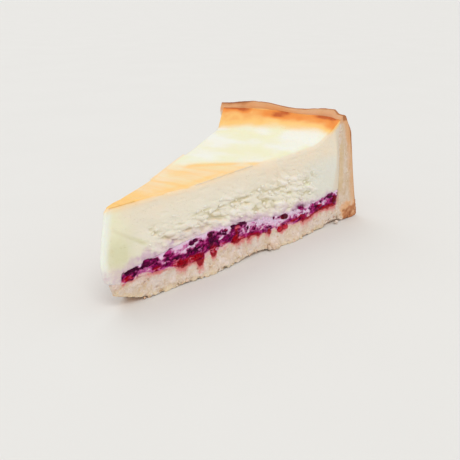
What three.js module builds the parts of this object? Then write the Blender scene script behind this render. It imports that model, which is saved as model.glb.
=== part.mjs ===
// A slice of baked cranberry quark cheesecake, a twelfth of a round cake from a 26 cm springform tin.
// Millimetres, +Z up. The slice stands on its pastry base. +X runs from the tip to the crust along the
// middle of the slice, and -Y is the side of the cut face with the cranberries in view. The origin lies
// below the middle of the slice, on the surface that it stands on.
//
// Three solids make the cake: a pastry case (base and upright crust in one), the cranberry layer that
// lies on the base, and the quark filling that covers the layer and climbs the inside of the crust.
//
// Below, radius is the distance from the point where the two cuts would meet on an unsagged slice,
// across runs from 0 at the near cut (-Y) to 1 at the far cut (+Y), and z is the height.

import * as THREE from 'three';
import { ImprovedNoise } from 'three/addons/math/ImprovedNoise.js';
import { mergeVertices } from 'three/addons/utils/BufferGeometryUtils.js';

// The cut of the slice
const SLICE_ANGLE = THREE.MathUtils.degToRad(28.4);
const FOOT_RADIUS = 130.6; // outer edge of the pastry where it stood in the tin
const TIP_BACK = 2.4; // how far behind the blunt tip the two cut planes would meet
const TIP_ROUND = 0.5; // how far the middle of the tip stands in front of its two edges
const TIP_BLEND = 3; // along this far of the slice the blunt tip turns into the straight cuts

// The top of the filling
const TIP_HEIGHT = 34.1;
const BACK_HEIGHT = 37.5; // where the filling starts to climb the crust
const CREASE_HEIGHT = 45.6; // where it ends on the crust
const RISE = [25, 110]; // it rises from tip height to back height between these radii
const CLIMB_START = [98, 106]; // radius where the climb starts, at the near cut and at the far cut
const CLIMB_CURVE = [1.6, 0.95]; // above 1 it starts gently, at 1 it is a straight ramp
const CREASE_FOLLOW = 0.5; // how much of the rim's rise and dip the crease shares
const RIPPLE = { height: 0.22, radius: 7, lean: 4, across: 5, phase: 0.7 };

// Outline of the sagging tip, as [how far it stands forward, height]
const TIP_OUTLINE = [[-0.5, 4.5], [1.2, 7], [2.8, 10], [4, 13], [4.5, 18], [3.4, 24], [2, 30], [1.4, 33],
  [-0.4, 34.3]];
const TIP_REACH = 4.5;

// The base curls up off the surface at the tip
const TIP_LIFT = 5;
const LIFTED_LENGTH = 19;
const LIFT_CURVE = 1.7;
const UNDER_TIP = 0.5; // radius of the base's front edge, underneath and on top
const OVER_TIP = -2.4;

// The cranberry layer lies between two wavy surfaces, as mean height, wave height, wave length, radius
// of a crest at the near cut, and how far the wave has shifted at the far cut, in radians
const FLOOR = { mean: 7.9, height: 1.1, length: 49, crest: 10, shift: 1.9 };
const CEILING = { mean: 14.5, height: 1.9, length: 90, crest: 41, shift: -1.5 };
const TIP_PASTRY = { height: 2.6, radius: -3.5, width: 4 }; // extra thickness of the base at the tip
const LAYER_START = 2;
const LAYER_SLOPE = 0.33; // how far its front leans back for each millimetre of height
const LAYER_ROUNDING = { height: 0.8, width: 3 }; // its front is a little lower

// The upright crust, as [radius, height] from the foot to the top
const CRUST_OUTSIDE = [[129.4, 0], [130.5, 1.6], [129.6, 5], [128.5, 9.5], [126.7, 19], [124.7, 28.5],
  [123, 35], [121.8, 40], [119.6, 44]];
const CRUST_INSIDE = [[114.4, 8.8], [115.2, 14], [115.4, 20], [114.7, 29], [113.8, 37], [113.7, 42],
  [114.4, 45.9]];
const FOOT_SHARE = 0.12; // its outside meets the underside within this share of its height
const CORNER_SHARE = 0.3; // and its inside meets the top of the base within this one
const CROWN = 2.6; // how far the rounded top stands above its two shoulders
const RIM_WAVE = { height: 0.75, length: 0.62, crest: 0.72, shift: 0 }; // along the arc
const RIM_CHIP = { height: 1.5, width: 0.07 }; // the corner worn off at the near cut
const RIM_SHARE = [0.6, 1]; // the wave fades in over this share of the crust's height
const CROWN_SHARE = [0.8, 1]; // and the rounded top over this one
const DENT = { depth: 0.5, across: 6, up: 9, share: [0.05, 0.4] }; // shallow dents of the outside
const FAR_LEAN = { size: 1.3, radius: [108, 114], height: [38, 44] }; // leans out over the far cut

// Crumbled places along the cuts, as [radius, width, size]
const CHIPS = [[63, 7, 0.9], [113, 6, 1.3]]; // pastry missing from the lower edge
const FLARES = [[42, 13, 1.5], [86, 9, 1.7]]; // pastry pressed outwards
const FLARE_HEIGHT = 4.5;
const LUMP = { radius: 74.5, width: 2.6, height: 1.4, spread: 1.7, size: 2.3 }; // a crumb hanging on
const ROUGH_EDGE = { height: 0.5, length: 4 };

// Crumb of the cut faces: length and height of one crumb, and how deep it is cut in each material
const CRUMB = { length: 3.1, height: 2.1, skin: 0.14, quark: 0.42, pastry: 0.22 };
const COARSE_QUARK = { height: 21, spread: 7, from: [8, 30], until: [95, 110] }; // lower half
const PASTRY_PLACE = { below: [5, 9], beyond: [114, 118] };
const RELIEF_START = [-2, 6]; // the tip itself is smooth
const FAR_SHIFT = 31; // the far cut shows the same kinds of places elsewhere

// Neighbouring pieces keep this much clear of each other
const GAP = 0.34;

// Steps of each piece's surface along the slice, across it, and through it
const CASE_STEPS = [74, 10, 4];
const BASE_STEPS = 56; // of the case's steps along the slice, those that lie along the base
const LAYER_STEPS = [56, 8, 3];
const FILLING_STEPS = [57, 8, 14];
const BARE_STEPS = 3; // of the filling's steps, those in front of the cranberries

const MIDDLE = (FOOT_RADIUS - TIP_REACH) / 2;

const { clamp, lerp, smoothstep } = THREE.MathUtils;
const noise = new ImprovedNoise();

// 1 at the middle, fading to almost nothing at twice the width
function bump(position, middle, width) {
  const offset = (position - middle) / width;
  return Math.exp(-offset * offset);
}

function bumps(places, position) {
  return places.reduce((sum, [middle, width, size]) => sum + size * bump(position, middle, width), 0);
}

function wave(shape, position, across) {
  const turns = (position - shape.crest) / shape.length;
  return shape.height * Math.cos(2 * Math.PI * turns + shape.shift * across);
}

// Reads an outline of [value, height] pairs at a height
function valueAtHeight(points, z) {
  const last = points.length - 1;
  const found = points.findIndex(([, height]) => height > z);
  const upper = clamp(found < 0 ? last : found, 1, last);
  const [lowValue, lowHeight] = points[upper - 1];
  const [highValue, highHeight] = points[upper];
  return lerp(lowValue, highValue, clamp((z - lowHeight) / (highHeight - lowHeight), 0, 1));
}

function tipForward(z) {
  return valueAtHeight(TIP_OUTLINE, z);
}

function layerFloor(radius, across) {
  const tip = TIP_PASTRY.height * bump(radius, TIP_PASTRY.radius, TIP_PASTRY.width);
  return FLOOR.mean + wave(FLOOR, radius, across) + tip;
}

function layerCeiling(radius, across) {
  const rounding = LAYER_ROUNDING.height * bump(radius, LAYER_START, LAYER_ROUNDING.width);
  return CEILING.mean + wave(CEILING, radius, across) - rounding;
}

// The crust's edge rises and dips along its arc
function rimHeight(across) {
  return wave(RIM_WAVE, across, 0) - RIM_CHIP.height * bump(across, 0, RIM_CHIP.width);
}

// Nearly level from the tip, then up the inside of the crust
function fillingTop(radius, across) {
  const rise = (BACK_HEIGHT - TIP_HEIGHT) * smoothstep(radius, ...RISE);
  const start = lerp(...CLIMB_START, smoothstep(across, 0, 1));
  const end = CRUST_INSIDE[0][0];
  const climb = clamp((radius - start) / (end - start), 0, 1) ** lerp(...CLIMB_CURVE, across);
  const crease = CREASE_HEIGHT - BACK_HEIGHT + CREASE_FOLLOW * rimHeight(across);
  const ripple = Math.sin(radius / RIPPLE.radius + RIPPLE.lean * across)
    * Math.sin(RIPPLE.across * across + RIPPLE.phase);
  return TIP_HEIGHT + rise + RIPPLE.height * ripple + climb * crease;
}

// Flat, but curled up at the tip and crumbled along the two cuts
function baseUnderside(radius, across) {
  const curl = TIP_LIFT * clamp(1 - radius / LIFTED_LENGTH, 0, 1) ** LIFT_CURVE;
  const rough = ROUGH_EDGE.height * Math.abs(noise.noise(radius / ROUGH_EDGE.length, across, 0.5));
  const onCut = across === 0 || across === 1;
  return curl + (onCut ? bumps(CHIPS, radius) + rough : 0);
}

// How far a cut face stands out from its plane
function cutRelief(radius, z, across) {
  const far = across > 0.5;
  const along = radius + (far ? FAR_SHIFT : 0);
  const quark = bump(z, COARSE_QUARK.height, COARSE_QUARK.spread)
    * smoothstep(radius, ...COARSE_QUARK.from) * (1 - smoothstep(radius, ...COARSE_QUARK.until));
  const pastry = 1 - smoothstep(z, ...PASTRY_PLACE.below) + smoothstep(radius, ...PASTRY_PLACE.beyond);
  const depth = CRUMB.skin + CRUMB.quark * quark + CRUMB.pastry * pastry;
  const crumb = depth * noise.noise(along / CRUMB.length, z / CRUMB.height, across + 0.5);
  const flare = bumps(FLARES, along) * bump(z, 0, FLARE_HEIGHT);
  const lump = LUMP.size * bump(along, LUMP.radius, LUMP.width) * bump(z, LUMP.height, LUMP.spread);
  const lean = FAR_LEAN.size * smoothstep(radius, ...FAR_LEAN.radius) * smoothstep(z, ...FAR_LEAN.height);
  return (crumb + flare + lump + lean * across) * smoothstep(radius, ...RELIEF_START);
}

function inSlice(radius, across, z) {
  const apex = -tipForward(z) - TIP_BACK;
  const share = (radius - apex) / (FOOT_RADIUS - apex);
  const angle = (across - 0.5) * SLICE_ANGLE;
  const rounding = TIP_ROUND * (2 * across - 1) ** 2 * bump(radius, -tipForward(z), TIP_BLEND);
  const point = new THREE.Vector3(
    apex + share * (FOOT_RADIUS * Math.cos(angle) - apex) + rounding - MIDDLE,
    share * FOOT_RADIUS * Math.sin(angle),
    z,
  );
  if (across === 0 || across === 1) {
    const relief = cutRelief(radius, z, across);
    point.x -= relief * Math.sin(SLICE_ANGLE / 2);
    point.y += (2 * across - 1) * relief * Math.cos(SLICE_ANGLE / 2);
  }
  return point;
}

// A closed block of steps along, across and through, with each corner moved to its place
function block(steps, place) {
  const grid = new THREE.BoxGeometry(1, 1, 1, ...steps);
  grid.deleteAttribute('normal');
  grid.deleteAttribute('uv');
  const solid = mergeVertices(grid);
  const corners = solid.attributes.position;
  for (let i = 0; i < corners.count; i += 1) {
    const corner = [corners.getX(i), corners.getY(i), corners.getZ(i)];
    const shares = corner.map((value, axis) => Math.round((value + 0.5) * steps[axis]) / steps[axis]);
    const point = place(...shares);
    corners.setXYZ(i, point.x, point.y, point.z);
  }
  solid.computeVertexNormals();
  return solid;
}

function outline(points) {
  return new THREE.SplineCurve(points.map(([radius, height]) => new THREE.Vector2(radius, height)));
}

// Base and crust in one: u runs along the base and then up the crust, w from the outside to the inside
function pastryCase() {
  const outside = outline(CRUST_OUTSIDE);
  const inside = outline(CRUST_INSIDE);
  const baseShare = BASE_STEPS / CASE_STEPS[0];
  return block(CASE_STEPS, (u, v, w) => {
    if (u <= baseShare) {
      const under = lerp(UNDER_TIP, CRUST_OUTSIDE[0][0], u / baseShare);
      const over = lerp(OVER_TIP, CRUST_INSIDE[0][0], u / baseShare);
      const top = layerFloor(over, v) - GAP / 2;
      return inSlice(lerp(under, over, w), v, lerp(baseUnderside(under, v), top, w));
    }
    const up = (u - baseShare) / (1 - baseShare);
    const outer = outside.getPoint(up);
    const inner = inside.getPoint(up);
    const outerHeight = outer.y + baseUnderside(outer.x, v) * (1 - smoothstep(up, 0, FOOT_SHARE));
    const onBase = layerFloor(inner.x, v) - GAP / 2 - CRUST_INSIDE[0][1];
    const innerHeight = inner.y + onBase * (1 - smoothstep(up, 0, CORNER_SHARE));
    const crown = CROWN * Math.sin(Math.PI * w) * smoothstep(up, ...CROWN_SHARE);
    const rim = rimHeight(v) * smoothstep(up, ...RIM_SHARE);
    const dents = DENT.depth * Math.sin(DENT.across * v + DENT.up * up) * smoothstep(up, ...DENT.share);
    const radius = lerp(outer.x + dents, inner.x, w);
    return inSlice(radius, v, lerp(outerHeight, innerHeight, w) + crown + rim);
  });
}

function cranberryLayer() {
  return block(LAYER_STEPS, (u, v, w) => {
    const radius = lerp(LAYER_START, CRUST_INSIDE[0][0], u);
    const z = lerp(layerFloor(radius, v) + GAP / 2, layerCeiling(radius, v) - GAP / 2, w);
    const start = LAYER_START + LAYER_SLOPE * (z - layerFloor(LAYER_START, v));
    const end = valueAtHeight(CRUST_INSIDE, z) - GAP;
    return inSlice(lerp(start, end, u), v, z);
  });
}

// In front of the cranberries the filling reaches down to the base
function quarkFilling() {
  const covered = (BARE_STEPS - 0.5) / FILLING_STEPS[0];
  return block(FILLING_STEPS, (u, v, w) => {
    const lowRadius = lerp(OVER_TIP, CRUST_INSIDE[0][0], u);
    const highRadius = lerp(0, CRUST_INSIDE[0][0], u);
    const low = u < covered ? layerFloor(lowRadius, v) + GAP : layerCeiling(lowRadius, v) + GAP / 2;
    const z = lerp(low, fillingTop(highRadius, v), w);
    const end = valueAtHeight(CRUST_INSIDE, z) - GAP;
    return inSlice(lerp(-tipForward(z), end, u), v, z);
  });
}

function addPiece(group, name, geometry, color, roughness) {
  const material = new THREE.MeshStandardMaterial({ color, roughness, metalness: 0 });
  const piece = new THREE.Mesh(geometry, material);
  piece.name = name;
  group.add(piece);
}

const slice = new THREE.Group();
addPiece(slice, 'pastry_case', pastryCase(), 0xd9bd98, 0.85);
addPiece(slice, 'cranberry_layer', cranberryLayer(), 0x7c1f4a, 0.35);
addPiece(slice, 'quark_filling', quarkFilling(), 0xf0e6cb, 0.6);

export default slice;
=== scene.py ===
# %% [markdown]
# # One slice of cranberry quark cheesecake
#
# The measured model has three plain solids: a pastry case, a layer of cooked cranberries and a quark
# filling. This lesson gives each of them the surface of the real cake: torn curds where the knife went
# through, sandy shortcrust with a crumbled lower edge, wet broken berries and a top that the oven has
# turned golden. It builds close-meshed copies of the solids, cuts the fine relief into them, writes masks
# such as browning and juice onto their points, and lets the materials read those masks.

# %% Load the measured model
import math

import bmesh
import bpy
import numpy as np
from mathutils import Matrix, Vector, noise


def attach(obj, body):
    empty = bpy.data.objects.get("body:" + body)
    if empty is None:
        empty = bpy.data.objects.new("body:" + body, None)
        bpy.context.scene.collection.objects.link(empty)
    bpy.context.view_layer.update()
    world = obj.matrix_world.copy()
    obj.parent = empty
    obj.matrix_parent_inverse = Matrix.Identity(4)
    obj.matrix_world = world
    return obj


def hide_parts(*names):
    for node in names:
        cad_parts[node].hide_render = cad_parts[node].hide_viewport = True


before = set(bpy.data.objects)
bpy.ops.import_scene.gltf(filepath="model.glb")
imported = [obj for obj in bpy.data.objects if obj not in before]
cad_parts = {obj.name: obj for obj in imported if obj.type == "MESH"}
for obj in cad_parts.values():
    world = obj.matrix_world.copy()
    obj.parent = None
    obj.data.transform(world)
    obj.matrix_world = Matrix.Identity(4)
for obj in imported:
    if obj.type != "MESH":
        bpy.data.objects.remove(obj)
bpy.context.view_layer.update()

# %% [markdown]
# ## Camera
#
# A picture of food is usually taken from a little above the table. The camera stands to the left of the
# tip and looks along the near cut, so that the cut, the top and the inside of the crust all show. A camera
# could be turned by three angles, but a place and an aim are easier to read. Sizes in this lesson are
# millimetres, and MM turns them into Blender's metres.

# %% Camera
MM = 0.001
CAMERA_PLACE = Vector((-195.47, -122.39, 93.86))
CAMERA_AIM = Vector((17.57, 6.29, 0))
LENS = 49.48

camera = bpy.data.objects.new("camera", bpy.data.cameras.new("camera"))
camera.data.lens = LENS
camera.data.sensor_width = 36
camera.data.clip_start = 0.01
camera.location = CAMERA_PLACE * MM
camera.rotation_euler = (CAMERA_AIM - CAMERA_PLACE).to_track_quat("-Z", "Y").to_euler()
bpy.context.collection.objects.link(camera)
bpy.context.scene.camera = camera
print("The camera is", round((CAMERA_AIM - CAMERA_PLACE).length), "mm from its aim")

# %% [markdown]
# ## Light
#
# The light is soft and bright: a pale sky all round, a wide source high behind the slice on its far side,
# and a stronger, narrower one high behind the camera, which brings out the torn curds of the near cut.
# Area lamps would fade with distance and leave the floor uneven, so both sources are sun lamps with a large
# angle. The Standard view keeps the colours as they are set.

# %% Light
SKY_COLOR = (1.0, 0.992, 0.98)
SKY_STRENGTH = 0.7
SUNS = {
    "back sun": {"from": Vector((0.35, 0.82, 1.25)), "strength": 0.45, "width": math.radians(55)},
    "side sun": {"from": Vector((-0.5, -0.55, 0.95)), "strength": 0.85, "width": math.radians(25)},
}

scene = bpy.context.scene
scene.view_settings.view_transform = "Standard"
scene.view_settings.look = "None"
scene.world = bpy.data.worlds.new("pale sky")
scene.world.use_nodes = True
sky = scene.world.node_tree.nodes["Background"]
sky.inputs["Color"].default_value = (*SKY_COLOR, 1)
sky.inputs["Strength"].default_value = SKY_STRENGTH
for name, settings in SUNS.items():
    sun = bpy.data.objects.new(name, bpy.data.lights.new(name, "SUN"))
    sun.data.energy = settings["strength"]
    sun.data.angle = settings["width"]
    sun.rotation_euler = (-settings["from"]).to_track_quat("-Z", "Y").to_euler()
    bpy.context.collection.objects.link(sun)
    height = math.atan2(settings["from"].z, settings["from"].xy.length)
    print("The", name, "stands", round(math.degrees(height)), "degrees over the floor")

# %% [markdown]
# ## Helpers for materials
#
# A material is a tree of nodes. Writing every node and link by hand is long, so a few helpers add one node
# each and connect what they are given: a socket is linked, and a plain value is typed in. Colours are given
# as they would be picked on a screen and turned into the linear values that the renderer works with.

# %% Helpers for materials
def picked(red, green, blue):
    """The linear colour for a colour picked on a screen, with parts from 0 to 255"""
    shares = np.array((red, green, blue)) / 255
    linear = np.where(shares <= 0.04045, shares / 12.92, ((shares + 0.055) / 1.055) ** 2.4)
    return (*linear.tolist(), 1)


def fill(tree, socket, value):
    if isinstance(value, bpy.types.NodeSocket):
        tree.links.new(value, socket)
    elif value is not None:
        socket.default_value = value


def add(tree, kind, inputs=(), **settings):
    """One node, with its settings and its named inputs filled"""
    made = tree.nodes.new("ShaderNode" + kind)
    for name, value in settings.items():
        setattr(made, name, value)
    for name, value in dict(inputs).items():
        fill(tree, made.inputs[name], value)
    return made


def blend(tree, share, first, second, how="MIX"):
    """A colour between two colours"""
    made = tree.nodes.new("ShaderNodeMix")
    made.data_type = "RGBA"
    made.blend_type = how
    fill(tree, made.inputs[0], share)
    fill(tree, made.inputs[6], first)
    fill(tree, made.inputs[7], second)
    return made.outputs[2]


def sums(tree, operation, first, second=None, clamped=False):
    """Arithmetic on values"""
    made = tree.nodes.new("ShaderNodeMath")
    made.operation = operation
    made.use_clamp = clamped
    fill(tree, made.inputs[0], first)
    fill(tree, made.inputs[1], second)
    return made.outputs[0]


def stretch(tree, value, low, high, to_low=0.0, to_high=1.0):
    """A value's range from low to high, eased onto another range"""
    made = add(tree, "MapRange", {"Value": value, "From Min": low, "From Max": high,
                                  "To Min": to_low, "To Max": to_high})
    made.interpolation_type = "SMOOTHSTEP"
    return made.outputs[0]


def cloud(tree, size, detail=2.0, squash=(1, 1, 1), places=None):
    """Smooth noise whose patches have about the given size in millimetres"""
    if places is None:
        places = add(tree, "TexCoord").outputs["Object"]
    squashed = add(tree, "Mapping", {"Vector": places, "Scale": squash})
    made = add(tree, "TexNoise", {"Vector": squashed.outputs[0], "Detail": detail})
    if isinstance(size, bpy.types.NodeSocket):
        fill(tree, made.inputs["Scale"], sums(tree, "DIVIDE", 1 / MM, size))
    else:
        made.inputs["Scale"].default_value = 1 / (size * MM)
    return made.outputs["Fac"]


def mask(tree, name):
    """A mask that was written onto the mesh's points"""
    return add(tree, "Attribute", attribute_name=name).outputs["Fac"]


def new_group(name, inputs, outputs):
    """An empty node group with named sockets: inputs hold starting values, outputs hold socket kinds"""
    group = bpy.data.node_groups.new(name, "ShaderNodeTree")
    for label, value in inputs.items():
        kind = "NodeSocketColor" if isinstance(value, tuple) else "NodeSocketFloat"
        group.interface.new_socket(label, in_out="INPUT", socket_type=kind).default_value = value
    for label, kind in outputs.items():
        group.interface.new_socket(label, in_out="OUTPUT", socket_type="NodeSocket" + kind)
    return group, group.nodes.new("NodeGroupInput").outputs, group.nodes.new("NodeGroupOutput").inputs


def use_group(tree, group, inputs):
    made = tree.nodes.new("ShaderNodeGroup")
    made.node_tree = group
    for name, value in inputs.items():
        fill(tree, made.inputs[name], value)
    return made.outputs


def new_material(name):
    """A material with its tree and its Principled shader"""
    material = bpy.data.materials.new(name)
    material.use_nodes = True
    return material, material.node_tree, material.node_tree.nodes["Principled BSDF"]


def set_shader(shader, settings):
    """Plain values that are the same all over the surface"""
    for name, value in settings.items():
        shader.inputs[name].default_value = value


def add_bump(tree, shader, height, strength, distance):
    """Relief too fine for the mesh, with its distance in millimetres"""
    bump = add(tree, "Bump", {"Strength": strength, "Distance": distance * MM, "Height": height})
    fill(tree, shader.inputs["Normal"], bump.outputs[0])


print("Cream, picked and linear:", [round(part, 3) for part in picked(244, 243, 224)[:3]])

# %% [markdown]
# ## Floor
#
# A plain pale floor carries the slice. A single square would do, but its far edge could show from a low
# camera, so the floor is a wide disc whose rim lies far outside the picture. A faint mottling in its
# colour and roughness keeps it from looking like paper cut out of nothing.

# %% Floor
FLOOR_RADIUS = 9.0
FLOOR_COLOR = picked(232, 231, 228)


def floor_material():
    material, tree, shader = new_material("pale matt floor")
    mottling = cloud(tree, 60, 4)
    fill(tree, shader.inputs["Base Color"], blend(tree, mottling, FLOOR_COLOR, picked(229, 228, 225)))
    fill(tree, shader.inputs["Roughness"], stretch(tree, mottling, 0.3, 0.7, 0.75, 0.85))
    return material


floor_mesh = bpy.data.meshes.new("floor")
disc = bmesh.new()
bmesh.ops.create_circle(disc, cap_ends=True, segments=96, radius=FLOOR_RADIUS)
disc.to_mesh(floor_mesh)
disc.free()
floor = bpy.data.objects.new("floor", floor_mesh)
floor_mesh.materials.append(floor_material())
bpy.context.collection.objects.link(floor)
print("The floor has", len(floor_mesh.vertices), "corners")

# %% [markdown]
# ## The form of the slice
#
# The fine surfaces have to lie where the measured solids lie, so the same sizes shape them. A point of the
# cake is described by three values: its radius, counted from where the two cuts would meet, its share of
# the way across, from 0 at the near cut to 1 at the far cut, and its height. Every surface of the cake is
# simple in these values, and one function bends them into the real wedge with its sagging, blunt tip.

# %% Sizes of the wedge
SLICE_ANGLE = math.radians(28.4)
FOOT_RADIUS = 130.6
TIP_BACK = 2.4
TIP_ROUND = 0.5
TIP_BLEND = 3
TIP_REACH = 4.5
# The tip's front edge: each pair has how far it reaches before radius 0, and a height
TIP_OUTLINE = [[-0.5, 4.5], [1.2, 7], [2.8, 10], [4, 13], [4.5, 18], [3.4, 24], [2, 30], [1.4, 33],
               [-0.4, 34.3]]
MIDDLE = (FOOT_RADIUS - TIP_REACH) / 2


def ease(values, start, end):
    """0 before the start, 1 after the end, and a smooth rise between"""
    share = np.clip((values - start) / (end - start), 0, 1)
    return share * share * (3 - 2 * share)


def fade(values, start, end):
    """1 before the start and 0 after the end"""
    return 1 - ease(values, start, end)


def hill(position, middle, width):
    """1 at the middle, fading to almost nothing at twice the width"""
    return np.exp(-((position - middle) / width) ** 2)


def hills(places, position):
    """Several hills, each given as its middle, width and size"""
    return sum(size * hill(position, middle, width) for middle, width, size in places)


def between(first, second, share):
    return first + (second - first) * share


def wave(shape, position, across):
    turns = (position - shape["crest"]) / shape["length"]
    return shape["height"] * np.cos(2 * np.pi * turns + shape["shift"] * across)


def value_at_height(outline, z):
    values, heights = np.transpose(outline)
    return np.interp(z, heights, values)


def apex(z):
    """Where the two cut planes meet at a height"""
    return -value_at_height(TIP_OUTLINE, z) - TIP_BACK


def behind_tip(radius, z):
    """Distance behind the tip's front edge"""
    return radius + value_at_height(TIP_OUTLINE, z)


def in_slice(radius, across, z):
    """The place of a point of the cake, in millimetres"""
    point = apex(z)
    share = (radius - point) / (FOOT_RADIUS - point)
    angle = (across - 0.5) * SLICE_ANGLE
    rounding = TIP_ROUND * (2 * across - 1) ** 2 * hill(radius, point + TIP_BACK, TIP_BLEND)
    x = point + share * (FOOT_RADIUS * np.cos(angle) - point) + rounding - MIDDLE
    y = share * FOOT_RADIUS * np.sin(angle)
    return np.column_stack((x, y, z))


def from_cut(radius, across, z):
    """Distance to the nearer cut"""
    return np.minimum(across, 1 - across) * SLICE_ANGLE * (radius - apex(z))


# %% [markdown]
# ## The surfaces between the pieces
#
# The cranberries lie between two slow waves. Below them is the top of the pastry, above them the quark.
# The top of the filling is almost level, rises a little towards the back and then climbs the crust. These
# are the formulas of the measured solids, written for whole lists of points at once, because a fine
# surface has many thousands of them.

# %% Surfaces between the pieces
TIP_HEIGHT = 34.1
BACK_HEIGHT = 37.5
CREASE_HEIGHT = 45.6
RISE = (25, 110)
CLIMB_START = (98, 106)
CLIMB_CURVE = (1.6, 0.95)
CREASE_FOLLOW = 0.5
FLOOR_WAVE = {"height": 1.1, "length": 49, "crest": 10, "shift": 1.9}
FLOOR_MEAN = 7.9
CEILING_WAVE = {"height": 1.9, "length": 90, "crest": 41, "shift": -1.5}
CEILING_MEAN = 14.5
TIP_PASTRY = (-3.5, 4, 2.6)
LAYER_START = 2
LAYER_ROUNDING = (LAYER_START, 3, 0.8)
RIM_WAVE = {"height": 0.75, "length": 0.62, "crest": 0.72, "shift": 0}
RIM_CHIP = (0.045, 0.085, 1.5)
# Where the crust begins: each pair has a radius and a height
CRUST_INSIDE = [[114.4, 8.8], [115.2, 14], [115.4, 20], [114.7, 29], [113.8, 37], [113.7, 42],
                [114.4, 45.9]]
INSIDE_FOOT = CRUST_INSIDE[0][0]


def layer_floor(radius, across):
    return FLOOR_MEAN + wave(FLOOR_WAVE, radius, across) + hills([TIP_PASTRY], radius)


def layer_ceiling(radius, across):
    return CEILING_MEAN + wave(CEILING_WAVE, radius, across) - hills([LAYER_ROUNDING], radius)


def layer_height(radius, across, level):
    """The height of a level in the layer, from 0 at its floor to 1 at its ceiling"""
    return between(layer_floor(radius, across), layer_ceiling(radius, across), level)


def layer_thickness(radius, across):
    return layer_ceiling(radius, across) - layer_floor(radius, across)


def rim_height(across):
    start, end, depth = RIM_CHIP
    return wave(RIM_WAVE, across, 0) - depth * fade(across, start, end)


def climb_share(radius, across):
    """0 on the level top, 1 where the filling ends on the crust"""
    start = between(*CLIMB_START, ease(across, 0, 1))
    return np.clip((radius - start) / (INSIDE_FOOT - start), 0, 1) ** between(*CLIMB_CURVE, across)


def filling_top(radius, across):
    rise = (BACK_HEIGHT - TIP_HEIGHT) * ease(radius, *RISE)
    crease = CREASE_HEIGHT - BACK_HEIGHT + CREASE_FOLLOW * rim_height(across)
    ripple = 0.22 * np.sin(radius / 7 + 4 * across) * np.sin(5 * across + 0.7)
    return TIP_HEIGHT + rise + ripple + climb_share(radius, across) * crease


def found_at(places, position, height):
    """What listed places add up to: each has a position, a height, its two half widths and a strength"""
    return sum(strength * hill(position, middle, width) * hill(height, level, spread)
               for middle, level, width, spread, strength in places)


sample = np.array([20.0, 60.0, 100.0])
print("The layer is", np.round(layer_thickness(sample, 0), 1), "mm thick at radii", sample)

# %% [markdown]
# ## Close-meshed blocks
#
# Every piece of the cake is a bent block: one direction runs along the slice, one across it and one through
# its thickness. A subdivided cube could be bent like that, but its lines would be evenly spread, and this
# cake needs close lines at the cuts and wide ones in the middle. So block() lays its own grid from three
# lists of stations. It keeps the slice coordinates of each point, because the relief and the masks are
# described in them. A second helper softens the edge between a cut and the top.

# %% Blocks
def block(alongs, acrosses, throughs, shape):
    """A closed block: shape turns station values into radius, share across and height"""
    counts = (len(alongs), len(acrosses), len(throughs))
    last = np.array(counts) - 1
    stations = np.indices(counts).reshape(3, -1)
    on_skin = ((stations == 0) | (stations == last[:, None])).any(axis=0)
    numbers = np.full(counts, -1)
    numbers[tuple(stations[:, on_skin])] = np.arange(on_skin.sum())
    i, j, k = stations[:, on_skin]
    radius, across, z = shape(alongs[i], acrosses[j], throughs[k])
    quads = []
    for axis in range(3):
        for end in (0, last[axis]):
            sheet = np.take(numbers, end, axis=axis)
            corners = [sheet[:-1, :-1], sheet[1:, :-1], sheet[1:, 1:], sheet[:-1, 1:]]
            if (end == 0) != (axis == 1):
                corners.reverse()
            quads.append(np.stack(corners, axis=-1).reshape(-1, 4))
    return {"radius": radius, "across": across, "z": z, "through": throughs[k], "along": alongs[i],
            "points": in_slice(radius, across, z), "faces": np.concatenate(quads)}


def places_of(piece):
    """A piece's points with their radii, shares across and heights"""
    return (piece[key] for key in ("points", "radius", "across", "z"))


def close_at_cuts(count):
    """Stations across the slice that crowd together at both cuts"""
    return 0.5 - 0.5 * np.cos(np.linspace(0, np.pi, count + 1))


def normals_of(points, faces):
    """The outward direction at each point of a mesh of four-cornered faces"""
    first, second, third, fourth = (points[faces[:, corner]] for corner in range(4))
    facing = np.cross(third - first, fourth - second)
    total = np.zeros_like(points)
    for corner in range(4):
        np.add.at(total, faces[:, corner], facing)
    return total / np.maximum(np.linalg.norm(total, axis=1, keepdims=True), 1e-12)


def out_of_cut(across):
    """The direction out of the nearer cut, for each point"""
    half = SLICE_ANGLE / 2
    sides = np.where(across < 0.5, -1.0, 1.0)
    return np.column_stack((-math.sin(half) + 0 * sides, math.cos(half) * sides, 0 * sides))


def round_edge(piece, below, size):
    """Rounds the edge between the cuts and the top; below is the depth under the top"""
    beside = from_cut(piece["radius"], piece["across"], piece["z"])
    near = (np.minimum(beside, below) < 0.001) & (np.maximum(beside, below) < size)
    turn = np.pi / 4 * (1 + np.maximum(beside, below) / size)
    first, second = size * (1 - np.cos(turn)), size * (1 - np.sin(turn))
    on_top = below < beside
    inwards = np.where(on_top, first, second) - beside
    down = np.where(on_top, second, first) - below
    moved = -out_of_cut(piece["across"]) * inwards[:, None] - np.array((0, 0, 1)) * down[:, None]
    piece["points"] = np.where(near[:, None], piece["points"] + moved, piece["points"])


def carve(piece, relief):
    """Moves each point outwards by its relief, in millimetres"""
    piece["points"] = piece["points"] + normals_of(piece["points"], piece["faces"]) * relief[:, None]


print("Stations across, for four steps:", np.round(close_at_cuts(4), 2))

# %% [markdown]
# ## Noise on points
#
# Torn curds and crumbs need two kinds of noise. Smooth noise swells and sinks without edges. Cell noise
# splits space into lumps with borders, like pebbles packed in a box, and tells how near a point is to its
# border and which lump it is in. Blender has both in mathutils, and they give the same values each time.
# A stretched copy of the points makes flat, long lumps, as curds are after baking.

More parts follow.
